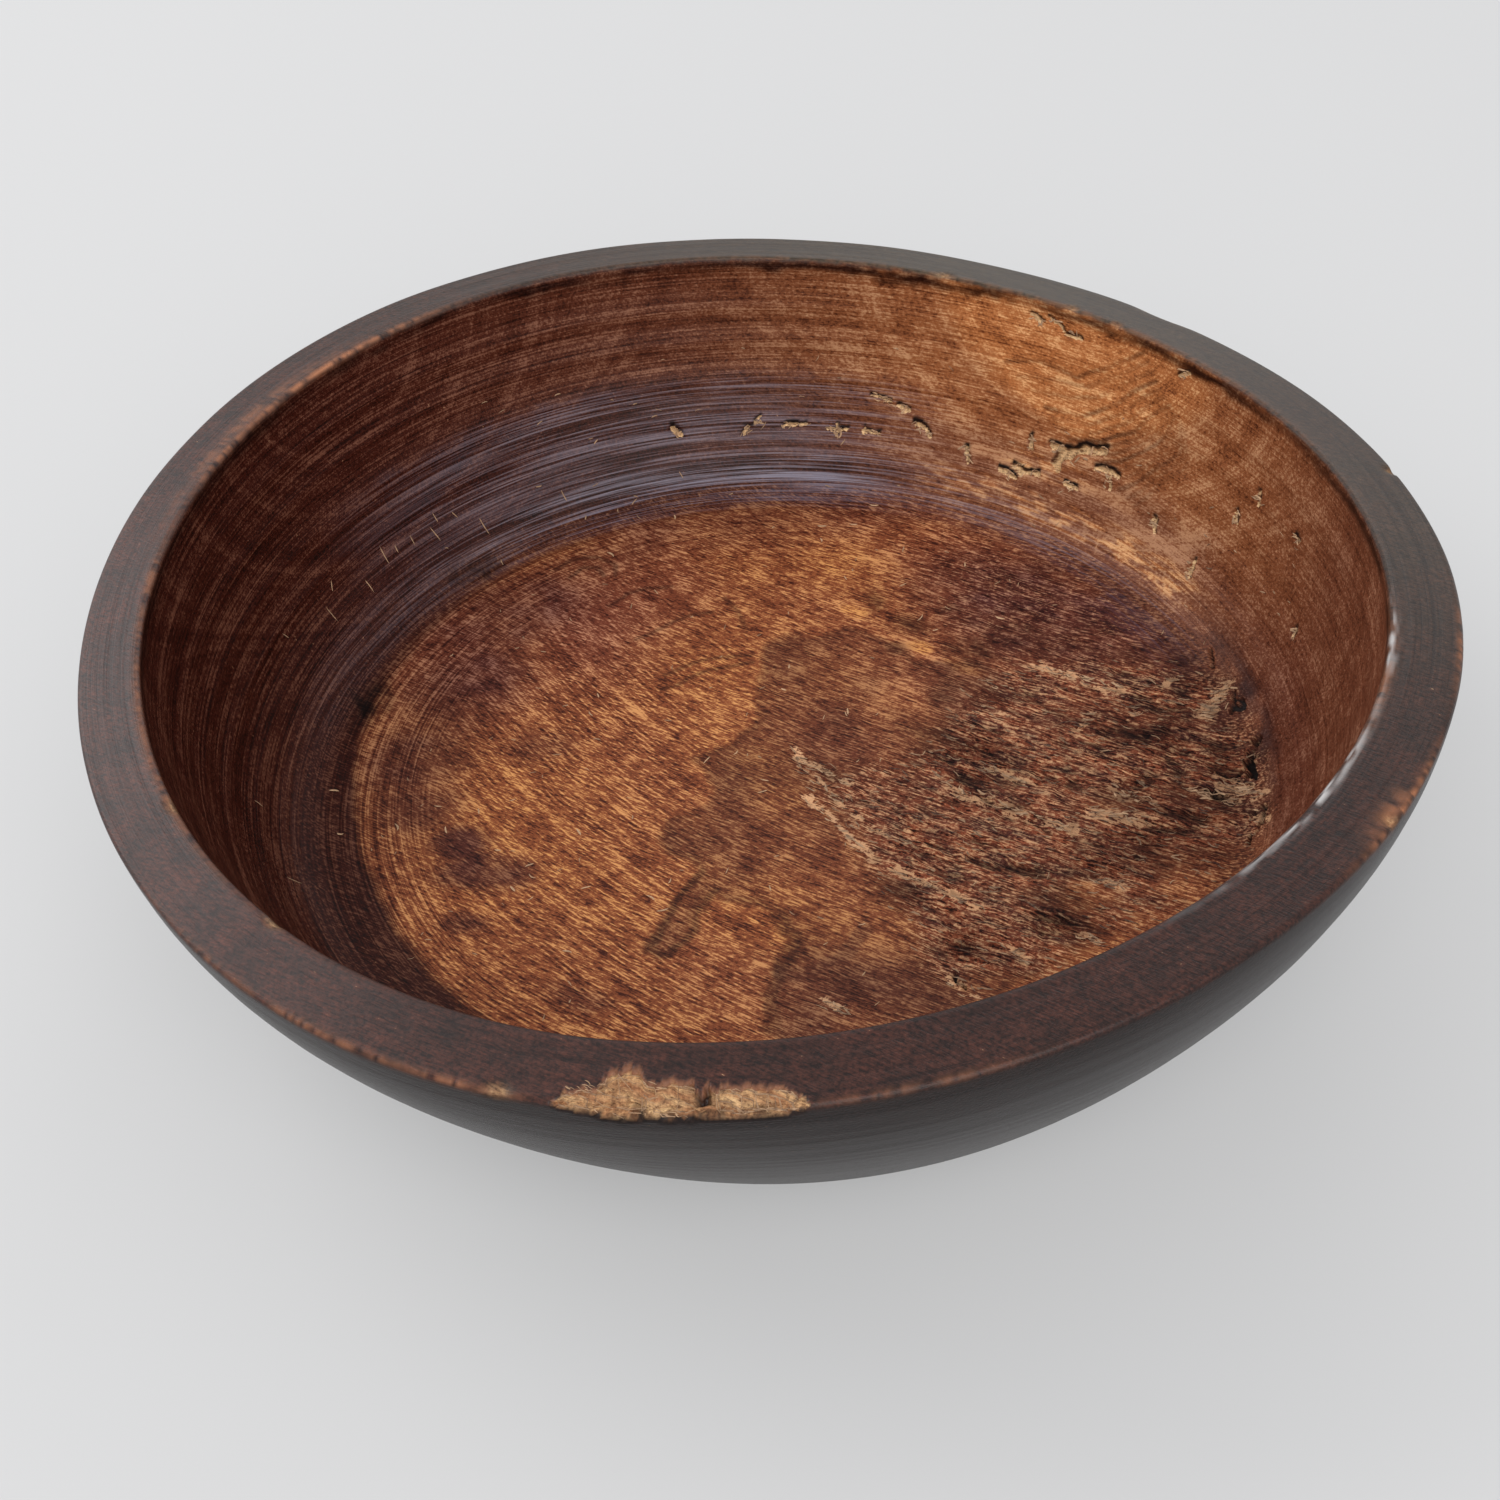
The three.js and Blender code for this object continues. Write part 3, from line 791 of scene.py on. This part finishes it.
pattern = {}
for name, source, scales, detail in (
        ("fibre", fibres, (1 / FIBRE_LENGTH, 1 / FIBRE_WIDTH, 1 / FIBRE_WIDTH), 3),
        ("streak", grain, (1 / STREAK_LENGTH, 1 / STREAK_WIDTH, 1 / STREAK_WIDTH), 2),
        ("tear", fibres, (1 / TEAR_LENGTH, 1 / TEAR_WIDTH, 1 / TEAR_WIDTH), 4),
        ("tool", lathe, (1 / TOOL_LINE, 2.5, 2.5), 4),
        ("season", ring_vector, (1 / SEASONS, 1, 1), 4),
        ("speck", place, (1 / SPECK, 1 / SPECK, 1 / SPECK), 3),
        ("mottle", place, (1 / MOTTLE, 1 / MOTTLE, 1 / MOTTLE), 4)):
    scaled = add_node(tree, "VectorMath", {0: source, 1: scales}, operation="MULTIPLY")
    pattern[name] = add_node(tree, "TexNoise",
                             {"Vector": scaled, "Scale": 1, "Detail": detail, "Roughness": 0.65})
ring_wobble = add_node(tree, "Math", {0: pattern["mottle"], 1: RING_WIDTH, 2: mark["ring"]},
                       operation="MULTIPLY_ADD")
ring_scaled = add_node(tree, "Math", {0: ring_wobble, 1: WAVE_PERIOD / RING_WIDTH}, operation="MULTIPLY")
ring_along = add_node(tree, "CombineXYZ", {0: ring_scaled})
pattern["ring"] = add_node(tree, "TexWave", {"Vector": ring_along, "Scale": 1}, out=1, wave_profile="SIN")

# How light each point of the wood is, from the patterns that show there, around a middle of 0.5
ring_line = add_node(tree, "Math", {0: pattern["ring"], 1: 5}, operation="POWER")
for name, low, high in (("streak", 0.3, 0.58), ("fibre", 0.42, 0.62)):
    ring_break = add_node(tree, "MapRange", {0: pattern[name], 1: low, 2: high})
    ring_line = add_node(tree, "Math", {0: ring_line, 1: ring_break}, operation="MULTIPLY")
ring_line = add_node(tree, "Math", {0: ring_line, 1: 0.085}, operation="SUBTRACT")
tone = add_node(tree, "Math", {0: ring_line, 1: mark["rings"], 2: 0.46}, operation="MULTIPLY_ADD")
mottle_share = add_node(tree, "MapRange", {0: mark["dark"], 1: 0, 2: 1, 3: 1, 4: 0.35})
for name, share, strength in (
        ("fibre", mark["hatch"], 4.2), ("streak", mark["worn"], 1.6), ("season", mark["figure"], 1.9),
        ("tool", mark["lines"], 3.2), ("speck", 1, 1.6), ("mottle", mottle_share, 1.5)):
    swing = add_node(tree, "Math", {0: pattern[name], 1: 0.5}, operation="SUBTRACT")
    swing = add_node(tree, "Math", {0: swing, 1: share}, operation="MULTIPLY")
    tone = add_node(tree, "Math", {0: swing, 1: strength, 2: tone}, operation="MULTIPLY_ADD")
fleck = add_node(tree, "MapRange", {0: pattern["fibre"], 1: 0.54, 2: 0.74})
fleck_share = add_node(tree, "MapRange", {0: pattern["mottle"], 1: 0.42, 2: 0.62, 3: 0, 4: 0.28})
fleck = add_node(tree, "Math", {0: fleck, 1: fleck_share}, operation="MULTIPLY")
for amount, strength in ((fleck, mark["floor"]), (mark["glow"], 0.35)):
    tone = add_node(tree, "Math", {0: amount, 1: strength, 2: tone}, operation="MULTIPLY_ADD")
to_body = add_node(tree, "MapRange", {0: tone, 1: -0.25, 2: 0.4})
to_light = add_node(tree, "MapRange", {0: tone, 1: 0.52, 2: 1.15})

# The wood's dark lines, body and bright lines: the wall from brown to gold, the floor from red to amber, and
# both nearly black where the dark share is full: on the left of the wall, in the corner, in thick stain and
# in the painted shade under the mouth's edge
shades = []
for brown, golden, red, amber, stain_and_shade in (("#2f110c", "#65321a", "#34120d", "#431b10", "#140503"),
                                           ("#582921", "#be7644", "#73382a", "#97532f", "#38130b"),
                                           ("#905f50", "#f6bc82", "#c68a70", "#e6a25c", "#6a4232")):
    on_the_wall = add_node(tree, "Mix", {0: mark["gold"], 6: linear(brown), 7: linear(golden)}, 2,
                           data_type="RGBA")
    on_the_floor = add_node(tree, "Mix", {0: mark["gold"], 6: linear(red), 7: linear(amber)}, 2,
                            data_type="RGBA")
    shade = add_node(tree, "Mix", {0: mark["floor"], 6: on_the_wall, 7: on_the_floor}, 2, data_type="RGBA")
    shades.append(add_node(tree, "Mix", {0: mark["dark"], 6: shade, 7: linear(stain_and_shade)}, 2,
                           data_type="RGBA"))
colour = add_node(tree, "Mix", {0: to_body, 6: shades[0], 7: shades[1]}, 2, data_type="RGBA")
colour = add_node(tree, "Mix", {0: to_light, 6: colour, 7: shades[2]}, 2, data_type="RGBA")

# Torn wood: black, reddish or tan as its fibres lie deep or stand up
shred = add_node(tree, "Math", {0: pattern["fibre"], 1: pattern["speck"]}, operation="ADD")
ragged_share = {}
for name, raggedness, low, high in (("pale", 1.3, 1.85, 2.2), ("torn", 0.8, 1.05, 1.45),
                                    ("bored", 1.2, 1.62, 1.8)):
    torn_edge = add_node(tree, "Math", {0: shred, 1: raggedness, 2: mark[name]}, operation="MULTIPLY_ADD")
    ragged_share[name] = add_node(tree, "MapRange", {0: torn_edge, 1: low, 2: high})
torn_tone = add_node(tree, "Math", {0: pattern["fibre"], 1: 5, 2: -2.1}, operation="MULTIPLY_ADD")
for source, strength in ((pattern["speck"], 2.3), (ragged_share["pale"], 1.1), (mark["soot_and_shade"], -0.3)):
    torn_tone = add_node(tree, "Math", {0: source, 1: strength, 2: torn_tone}, operation="MULTIPLY_ADD")
torn_low = add_node(tree, "MapRange", {0: torn_tone, 1: 0.85, 2: 1.4})
torn_high = add_node(tree, "MapRange", {0: torn_tone, 1: 1.6, 2: 2.25})
tear = add_node(tree, "MapRange", {0: pattern["tear"], 1: 0.38, 2: 0.64})
torn_shades = [add_node(tree, "Mix", {0: tear, 6: linear(rotten), 7: linear(sound)}, 2, data_type="RGBA")
               for rotten, sound in (("#100c0e", "#2a150f"), ("#56302a", "#a05438"), ("#c69a74", "#eab486"))]
torn_colour = add_node(tree, "Mix", {0: torn_low, 6: torn_shades[0], 7: torn_shades[1]}, 2,
                       data_type="RGBA")
torn_colour = add_node(tree, "Mix", {0: torn_high, 6: torn_colour, 7: torn_shades[2]}, 2,
                       data_type="RGBA")

# The dark coat of the rim and the outside, worn reddish or olive in places, with a fine mottle and tool lines
coat_tone = add_node(tree, "MapRange", {0: shred, 1: 0.8, 2: 1.25})
coat_colour, coat_worn, coat_olive = [
    add_node(tree, "Mix", {0: coat_tone, 6: linear(low), 7: linear(high)}, 2, data_type="RGBA")
    for low, high in (("#181312", "#2a1f1d"), ("#2c1a17", "#683a2d"), ("#352c22", "#564838"))]
coat_wear = add_node(tree, "MapRange", {0: pattern["mottle"], 1: 0.15, 2: 0.65})
coat_wear = add_node(tree, "Math", {0: coat_wear, 1: mark["rim"]}, operation="MULTIPLY")
coat_colour = add_node(tree, "Mix", {0: coat_wear, 6: coat_colour, 7: coat_worn}, 2, data_type="RGBA")
coat_colour = add_node(tree, "Mix", {0: mark["olive"], 6: coat_colour, 7: coat_olive}, 2, data_type="RGBA")
coat_line = add_node(tree, "MapRange", {0: pattern["tool"], 1: 0.5, 2: 0.35, 3: 0, 4: 0.5})
coat_colour = add_node(tree, "Mix", {0: coat_line, 6: coat_colour, 7: linear("#141010")}, 2,
                       data_type="RGBA")

# Bare wood in the chip, the nicks and the channels
bare_tone = add_node(tree, "MapRange", {0: shred, 1: 0.68, 2: 1.16})
bare_light = add_node(tree, "Mix", {0: tear, 6: linear("#b98259"), 7: linear("#eabf8a")}, 2,
                      data_type="RGBA")
bare_colour = add_node(tree, "Mix", {0: bare_tone, 6: linear("#553320"), 7: bare_light}, 2,
                       data_type="RGBA")
bored_colour = add_node(tree, "Mix", {0: bare_tone, 6: linear("#6a4229"), 7: linear("#f2c894")}, 2,
                        data_type="RGBA")

# What lies over the wood, from the first to the last, painted sheen, shade and highlight among it. A stain
# darkens the wood, so the grain shows through.
# Lighter painted lines of the sheen along the tool lines, standing in for their gloss
painted_sheen_lines = add_node(tree, "MapRange", {0: pattern["tool"], 1: 0.45, 2: 0.65})
painted_sheen_lines = add_node(tree, "Math", {0: painted_sheen_lines, 1: mark["painted_sheen"]}, operation="MULTIPLY")
torn_amount = add_node(tree, "Math", {0: ragged_share["torn"], 1: ragged_share["pale"]}, operation="MAXIMUM")
torn_amount = add_node(tree, "Math", {0: torn_amount, 1: 0.88}, operation="MULTIPLY")
for amount, over, blend in (
        # the bluish painted sheen, then its lighter painted lines
        (mark["painted_sheen"], linear("#9a93a6"), "MULTIPLY"),
        (painted_sheen_lines, linear("#928d9a"), "MIX"),
        # wine-dark blotches, with the painted shade at the wall's foot
        (mark["wine_and_shade"], linear("#9a92be"), "MULTIPLY"),
        (mark["stain"], linear("#b4b4c8"), "MULTIPLY"),
        (torn_amount, torn_colour, "MIX"),
        (mark["tide"], linear("#8a8a92"), "MULTIPLY"),
        # sooty spots, with the painted shade under the mouth's edge and at the wall's foot
        (mark["soot_and_shade"], linear("#716b70"), "MULTIPLY"),
        (mark["coat"], coat_colour, "MIX"),
        (mark["rubbed"], linear("#b07350"), "MIX"),
        # the painted highlight on the mouth's edge
        (mark["painted_highlight"], linear("#c4c0be"), "MIX"),
        (mark["bare"], bare_colour, "MIX"),
        (ragged_share["bored"], bored_colour, "MIX"),
        # painted shade in cracks, slots, gaps, notches and under the channels' edges
        (mark["hollow"], linear("#1a1210"), "MIX")):
    colour = add_node(tree, "Mix", {0: amount, 6: colour, 7: over}, 2, data_type="RGBA", blend_type=blend)

# Gloss: satin lacquer on the rim and the wall, duller on the worn floor, hardly any on bare and torn wood
dull = add_node(tree, "Math", {0: mark["torn"], 1: mark["bare"]}, operation="MAXIMUM")
dull = add_node(tree, "Math", {0: dull, 1: mark["rubbed"]}, operation="MAXIMUM")
gloss = add_node(tree, "MapRange", {0: mark["floor"], 1: 0, 2: 1, 3: 0.26, 4: 0.5})
gloss = add_node(tree, "Math", {0: dull, 1: 0.35, 2: gloss}, operation="MULTIPLY_ADD")
gloss = add_node(tree, "Math", {0: pattern["speck"], 1: 0.12, 2: gloss}, operation="MULTIPLY_ADD")

# Heights in millimetres: fibres and tool lines stand out a little, torn wood a lot
tool_height = add_node(tree, "Math", {0: pattern["tool"], 1: mark["lines"]}, operation="MULTIPLY")
rough_height = add_node(tree, "Math", {0: pattern["speck"], 1: dull}, operation="MULTIPLY")
torn_height = add_node(tree, "Math", {0: pattern["fibre"], 1: mark["torn"]}, operation="MULTIPLY")
relief_height = add_node(tree, "Math", {0: pattern["fibre"], 1: 0.18}, operation="MULTIPLY")
for source, depth in ((tool_height, 0.16), (rough_height, 0.9), (torn_height, 1)):
    relief_height = add_node(tree, "Math", {0: source, 1: depth, 2: relief_height}, operation="MULTIPLY_ADD")
relief = add_node(tree, "Bump", {"Height": relief_height, "Strength": 1, "Distance": MM})
sheen = add_node(tree, "MapRange", {0: mark["rim"], 1: 0, 2: 1, 3: 0.13, 4: 0.38})
shader = add_node(tree, "BsdfPrincipled", {
    "Base Color": colour, "Roughness": gloss, "Normal": relief, "IOR": 1.5, "Specular IOR Level": sheen})
add_node(tree, "OutputMaterial", {"Surface": shader})
bowl_mesh.materials.append(stained_wood)
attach(bowl, "root")
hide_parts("bowl")

# Torn fibres
# Thin splinters of the bowl's own wood, still held at one end where the floor, the channels and the chip
# are broken, and small crumbs of them that lie on the floor and the wall.
FIBRE_STEPS = np.linspace(-1, 1, 6)
FIBRE_LIE = 0.12  # of a fibre's middle above the wood
TORN_FIBRES = 800  # tried over the torn floor's box, besides the clusters
FLOOR_CRUMBS = 130
WALL_CRUMBS = 60
CHANNEL_FIBRES = 5  # in each channel
CHIP_FIBRES = 300
CRUMB_REACH = 165  # of the crumbs on the floor, from its middle
TORN_REACH = 186
draw = np.random.default_rng(7)
surface = BVHTree.FromPolygons(bowl_points, bowl_faces)
fibre_points = []
fibre_faces = []
fibre_tones = []


def at_floor(x, y):
    """A point of the floor or the lower wall, from its plan before drying."""
    reach = math.hypot(x, y)
    rise = np.interp(reach, inside_section[::-1, 0], inside_section[::-1, 1])
    return Vector(dried(reach, rise, math.atan2(y, x)))


def at_wall(degrees, depth):
    """A point of the wall, from its turn and how far down it lies."""
    reach, rise = [np.interp(depth, section_run, section[:, axis]) for axis in (0, 1)]
    return Vector(dried(reach, rise, math.radians(degrees)))


def lay_fibre(middle, heading, length, width, lift, tone, curl=0.08):
    """Lays one fibre on the wood, tapered to both ends, with its far end lifted."""
    ahead = Vector((math.cos(heading), math.sin(heading), draw.normal(0, 0.1)))
    bow = draw.normal(0, curl) * length
    first = len(fibre_points)
    for step in FIBRE_STEPS:
        normal = surface.find_nearest(middle)[1]
        ahead = (ahead - normal * ahead.dot(normal)).normalized()
        side = normal.cross(ahead)
        wanted = middle + ahead * (step * length / 2 * MM) + side * (bow * (1 - step ** 2) * MM)
        place, normal = surface.find_nearest(wanted)[:2]
        centre = place + normal * ((FIBRE_LIE + lift * max(step, 0) ** 2) * MM)
        half = width / 2 * (1 - abs(step) ** 2.5) ** 0.6
        if abs(step) == 1:
            fibre_points.append(centre)
            continue
        thick = 0.3 * half + 0.05
        for offset in (side * -half, normal * thick, side * half, normal * -thick):
            fibre_points.append(centre + offset * MM)
    last = len(fibre_points) - 1
    for corner in range(4):
        after = (corner + 1) % 4
        fibre_faces.append((first, first + 1 + after, first + 1 + corner))
        fibre_faces.append((last, last - 4 + corner, last - 4 + after))
        for row in range(len(FIBRE_STEPS) - 3):
            start = first + 1 + 4 * row
            fibre_faces.append((start + corner, start + after, start + 4 + after, start + 4 + corner))
    fibre_tones.extend([tone] * (len(fibre_points) - first))


def grain_heading(x):
    """The fibres' heading on the floor, which sweeps round from left to right."""
    return math.radians(np.interp(x, (-150, -50, 60, 150), (-58, -50, -38, -32)))


# Fibres of the pale clusters, and of the torn floor round them
for tear_path, spread, count, paleness in clusters:
    corners = np.array(tear_path, float)
    runs = np.concatenate([[0], np.cumsum(np.linalg.norm(np.diff(corners, axis=0), axis=1))])
    for _ in range(count):
        share = draw.uniform(0, runs[-1])
        x, y = [np.interp(share, runs, corners[:, axis]) + draw.normal(0, spread / 2) for axis in (0, 1)]
        heading = grain_heading(x) + draw.normal(0, 0.3)
        lay_fibre(at_floor(x, y), heading, draw.uniform(2, 6), draw.uniform(0.35, 1),
                  draw.exponential(0.4), paleness * draw.uniform(0.3, 1))
for _ in range(TORN_FIBRES):
    x, y = draw.uniform(5, 185), draw.uniform(-115, 50)
    if math.hypot(x, y) < TORN_REACH and depth_in(torn_outline, np.array([(x, y)]))[0] > 0:
        lay_fibre(at_floor(x, y), grain_heading(x) + draw.normal(0, 0.25), draw.uniform(2, 6),
                  draw.uniform(0.3, 0.7), draw.exponential(0.3), draw.uniform(0, 0.6))

# Crumbs that stand out on the floor, and smaller ones strewn over the floor and the wall
crumbs = (
    (-117, -3), (-130, -12), (-133, 2), (-150, -8), (-98, -36), (-97, -42), (-105, -48), (-110, -26),
    (-65, 60), (-22, 175), (-53, 153), (-4, -8), (75, 88), (-175, 16), (-172, -9), (-78, -20), (-77, -51),
    (-53, -60), (-86, -84), (-49, -67), (57, 157), (43, 158), (68, 168), (41, 148), (100, 120), (80, 79),
    (108, 82), (16, 66), (12, 52), (36, 34), (-24, 14), (-45, -52))
for x, y in crumbs:
    lay_fibre(at_floor(x, y), draw.uniform(0, math.pi), draw.uniform(2.5, 5), draw.uniform(0.5, 0.9), 0.3,
              draw.uniform(0.8, 1))
for _ in range(FLOOR_CRUMBS):
    reach, heading = CRUMB_REACH * math.sqrt(draw.uniform(0, 1)), draw.uniform(0, 2 * math.pi)
    lay_fibre(at_floor(reach * math.cos(heading), reach * math.sin(heading)), draw.uniform(0, math.pi),
              draw.uniform(1.5, 4), draw.uniform(0.3, 0.6), 0.2, draw.uniform(0.4, 0.9))
for _ in range(WALL_CRUMBS):
    spot = at_wall(draw.uniform(0, 130), draw.uniform(60, 138))
    lay_fibre(spot, draw.uniform(0, math.pi), draw.uniform(1.5, 4), draw.uniform(0.3, 0.6), 0.2,
              draw.uniform(0.3, 0.8))

# Pale upright scratches on the left of the wall, drawn as thin fibres that lie flat on it. Each is a turn in
# degrees, how far down, and a length.
scratches = (
    (137.6, 105, 9), (135.6, 106, 4), (133, 107, 5), (128.6, 104, 5), (129.7, 110, 8), (123, 117, 9),
    (111, 118, 6), (149.2, 108, 8), (157, 98, 4), (146.6, 100, 5), (126, 107, 4), (142, 111, 7),
    (182, 110, 5), (192, 124, 7))
for degrees, depth, length in scratches:
    heading = math.radians(degrees) + draw.normal(0, 0.1)
    lay_fibre(at_wall(degrees, depth), heading, length, 0.5, 0, draw.uniform(0.5, 0.7), curl=0.01)

# Fibres left in the channels and standing up from the chip
for bore_path, width, _ in channels:
    for _ in range(CHANNEL_FIBRES):
        (from_turn, from_down), (to_turn, to_down) = bore_path[0], bore_path[-1]
        share = draw.uniform(0, 1)
        spot = at_wall(from_turn + share * (to_turn - from_turn) + draw.normal(0, 0.3),
                       from_down + share * (to_down - from_down) + draw.normal(0, 0.4 * width))
        lay_fibre(spot, draw.uniform(0, math.pi), draw.uniform(2, 5), draw.uniform(0.4, 1), 0.4,
                  draw.uniform(0.5, 1))
for _ in range(CHIP_FIBRES):
    off = draw.choice((draw.uniform(-36, 2), draw.uniform(10, 34)))
    edge_turn = math.degrees(CHIP_TURN + off / RIM_RADIUS)
    spot = at_wall(edge_turn, draw.uniform(0, 12) * np.interp(off, (-36, -22, -5, 34), (0.5, 1, 0.75, 0.4)))
    lay_fibre(spot, math.pi + FIBRE_TURN + draw.normal(0, 0.25), draw.uniform(1.5, 3.5),
              draw.uniform(0.2, 0.4), draw.exponential(0.15), draw.uniform(0.35, 0.8))

torn_fibres, fibre_mesh = add_piece("torn_fibres", [tuple(point) for point in fibre_points], fibre_faces)
fibre_mesh.attributes.new("tone", "FLOAT", "POINT").data.foreach_set("value", fibre_tones)

# Bare torn hardwood, with no finish: dull, and from reddish brown to a bleached tan from fibre to fibre
torn_wood, tree = add_material("bare_torn_hardwood")
tone = add_node(tree, "Attribute", out=2, attribute_name="tone")
place = add_node(tree, "TexCoord", out=3)
flecks = add_node(tree, "TexNoise", {"Vector": place, "Scale": 1 / SPECK, "Detail": 3})
flecks = add_node(tree, "Math", {0: flecks, 1: 0.9, 2: -0.45}, operation="MULTIPLY_ADD")
tone = add_node(tree, "Math", {0: tone, 1: flecks}, operation="ADD", use_clamp=True)
colour = add_node(tree, "Mix", {0: tone, 6: linear("#3a2018"), 7: linear("#cda680")}, 2, data_type="RGBA")
relief = add_node(tree, "Bump", {"Height": flecks, "Strength": 0.4, "Distance": MM})
shader = add_node(tree, "BsdfPrincipled", {
    "Base Color": colour, "Roughness": 0.8, "Normal": relief, "IOR": 1.5})
add_node(tree, "OutputMaterial", {"Surface": shader})
fibre_mesh.materials.append(torn_wood)
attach(torn_fibres, "root")

# The ground
# A plain pale surface that the bowl stands on, painted matt and wide enough to fill the view. It takes the
# bowl's shadow.
GROUND = -0.2 * MM  # a hair below the foot
GROUND_REACH = 40  # metres each way
GLOW_SHARE = 0.38
ground_corners = [(x * GROUND_REACH, y * GROUND_REACH, GROUND)
                  for x, y in ((-1, -1), (1, -1), (1, 1), (-1, 1))]
ground, ground_mesh = add_piece("ground", ground_corners, [(0, 1, 2, 3)])

# Matt pale paint: it scatters the light evenly and hardly shines. To the camera and in reflections it also
# glows a little, which keeps it pale and its shadow light.
painted_floor, tree = add_material("painted_floor")
painted = add_node(tree, "BsdfPrincipled", {
    "Base Color": linear("#d8d8d8"), "Roughness": 0.9, "IOR": 1.4, "Specular IOR Level": 0.1})
pale_glow = add_node(tree, "Emission", {"Color": linear("#dcdcdc"), "Strength": 1})
seen = 0
for ray in (0, 3, 6):  # the camera's, glossy and transmission rays
    seen_by_ray = add_node(tree, "LightPath", out=ray)
    seen = add_node(tree, "Math", {0: seen_by_ray, 1: seen}, operation="ADD")
glow_share = add_node(tree, "Math", {0: seen, 1: GLOW_SHARE}, operation="MULTIPLY")
shader = add_node(tree, "MixShader", {0: glow_share, 1: painted, 2: pale_glow})
add_node(tree, "OutputMaterial", {"Surface": shader})
ground_mesh.materials.append(painted_floor)

# Light
# A pale room all round, a wide soft lamp in front that fills the shadow, and two behind the bowl whose sheen
# lies on the rim.
world = bpy.data.worlds.new("pale_room")
world.use_nodes = True
bpy.context.scene.world = world
world.node_tree.nodes["Background"].inputs["Color"].default_value = linear("#f6f7fa")
world.node_tree.nodes["Background"].inputs["Strength"].default_value = 0.68
for name, lamp_place, lamp_size, lamp_power in (("front_lamp", (0.2, -2.4, 1.9), 3, 55),
                                                ("back_lamp", (0.9, 2.4, 1.8), 1.6, 9),
                                                ("back_left_lamp", (-1.7, 1.2, 1.6), 2, 21)):
    lamp = bpy.data.lights.new(name, "AREA")
    lamp.shape = "DISK"
    lamp.size = lamp_size
    lamp.energy = lamp_power
    lamp_object = bpy.data.objects.new(name, lamp)
    lamp_object.location = lamp_place
    lamp_object.rotation_euler = (-Vector(lamp_place)).to_track_quat("-Z", "Y").to_euler()
    lamp_object.visible_camera = False
    bpy.context.collection.objects.link(lamp_object)

# Camera
# It stands in front of the bowl and looks down on it, tilted a little to one side.
CAMERA_PLACE = (-0.00659, -0.67194, 0.64501)
CAMERA_PITCH = 0.72855
CAMERA_ROLL = -0.12771
CAMERA_LENS = 55.2
camera_data = bpy.data.cameras.new("camera")
camera_data.lens = CAMERA_LENS
camera_data.sensor_width = 36
camera = bpy.data.objects.new("camera", camera_data)
camera.location = CAMERA_PLACE
cos_pitch, sin_pitch = math.cos(CAMERA_PITCH), math.sin(CAMERA_PITCH)
cos_roll, sin_roll = math.cos(CAMERA_ROLL), math.sin(CAMERA_ROLL)
right = Vector((cos_roll, sin_roll * sin_pitch, sin_roll * cos_pitch))
up = Vector((-sin_roll, cos_roll * sin_pitch, cos_roll * cos_pitch))
camera.rotation_euler = Matrix((right, up, right.cross(up))).transposed().to_euler()
bpy.context.collection.objects.link(camera)
bpy.context.scene.camera = camera
bpy.context.scene.view_settings.view_transform = "Standard"
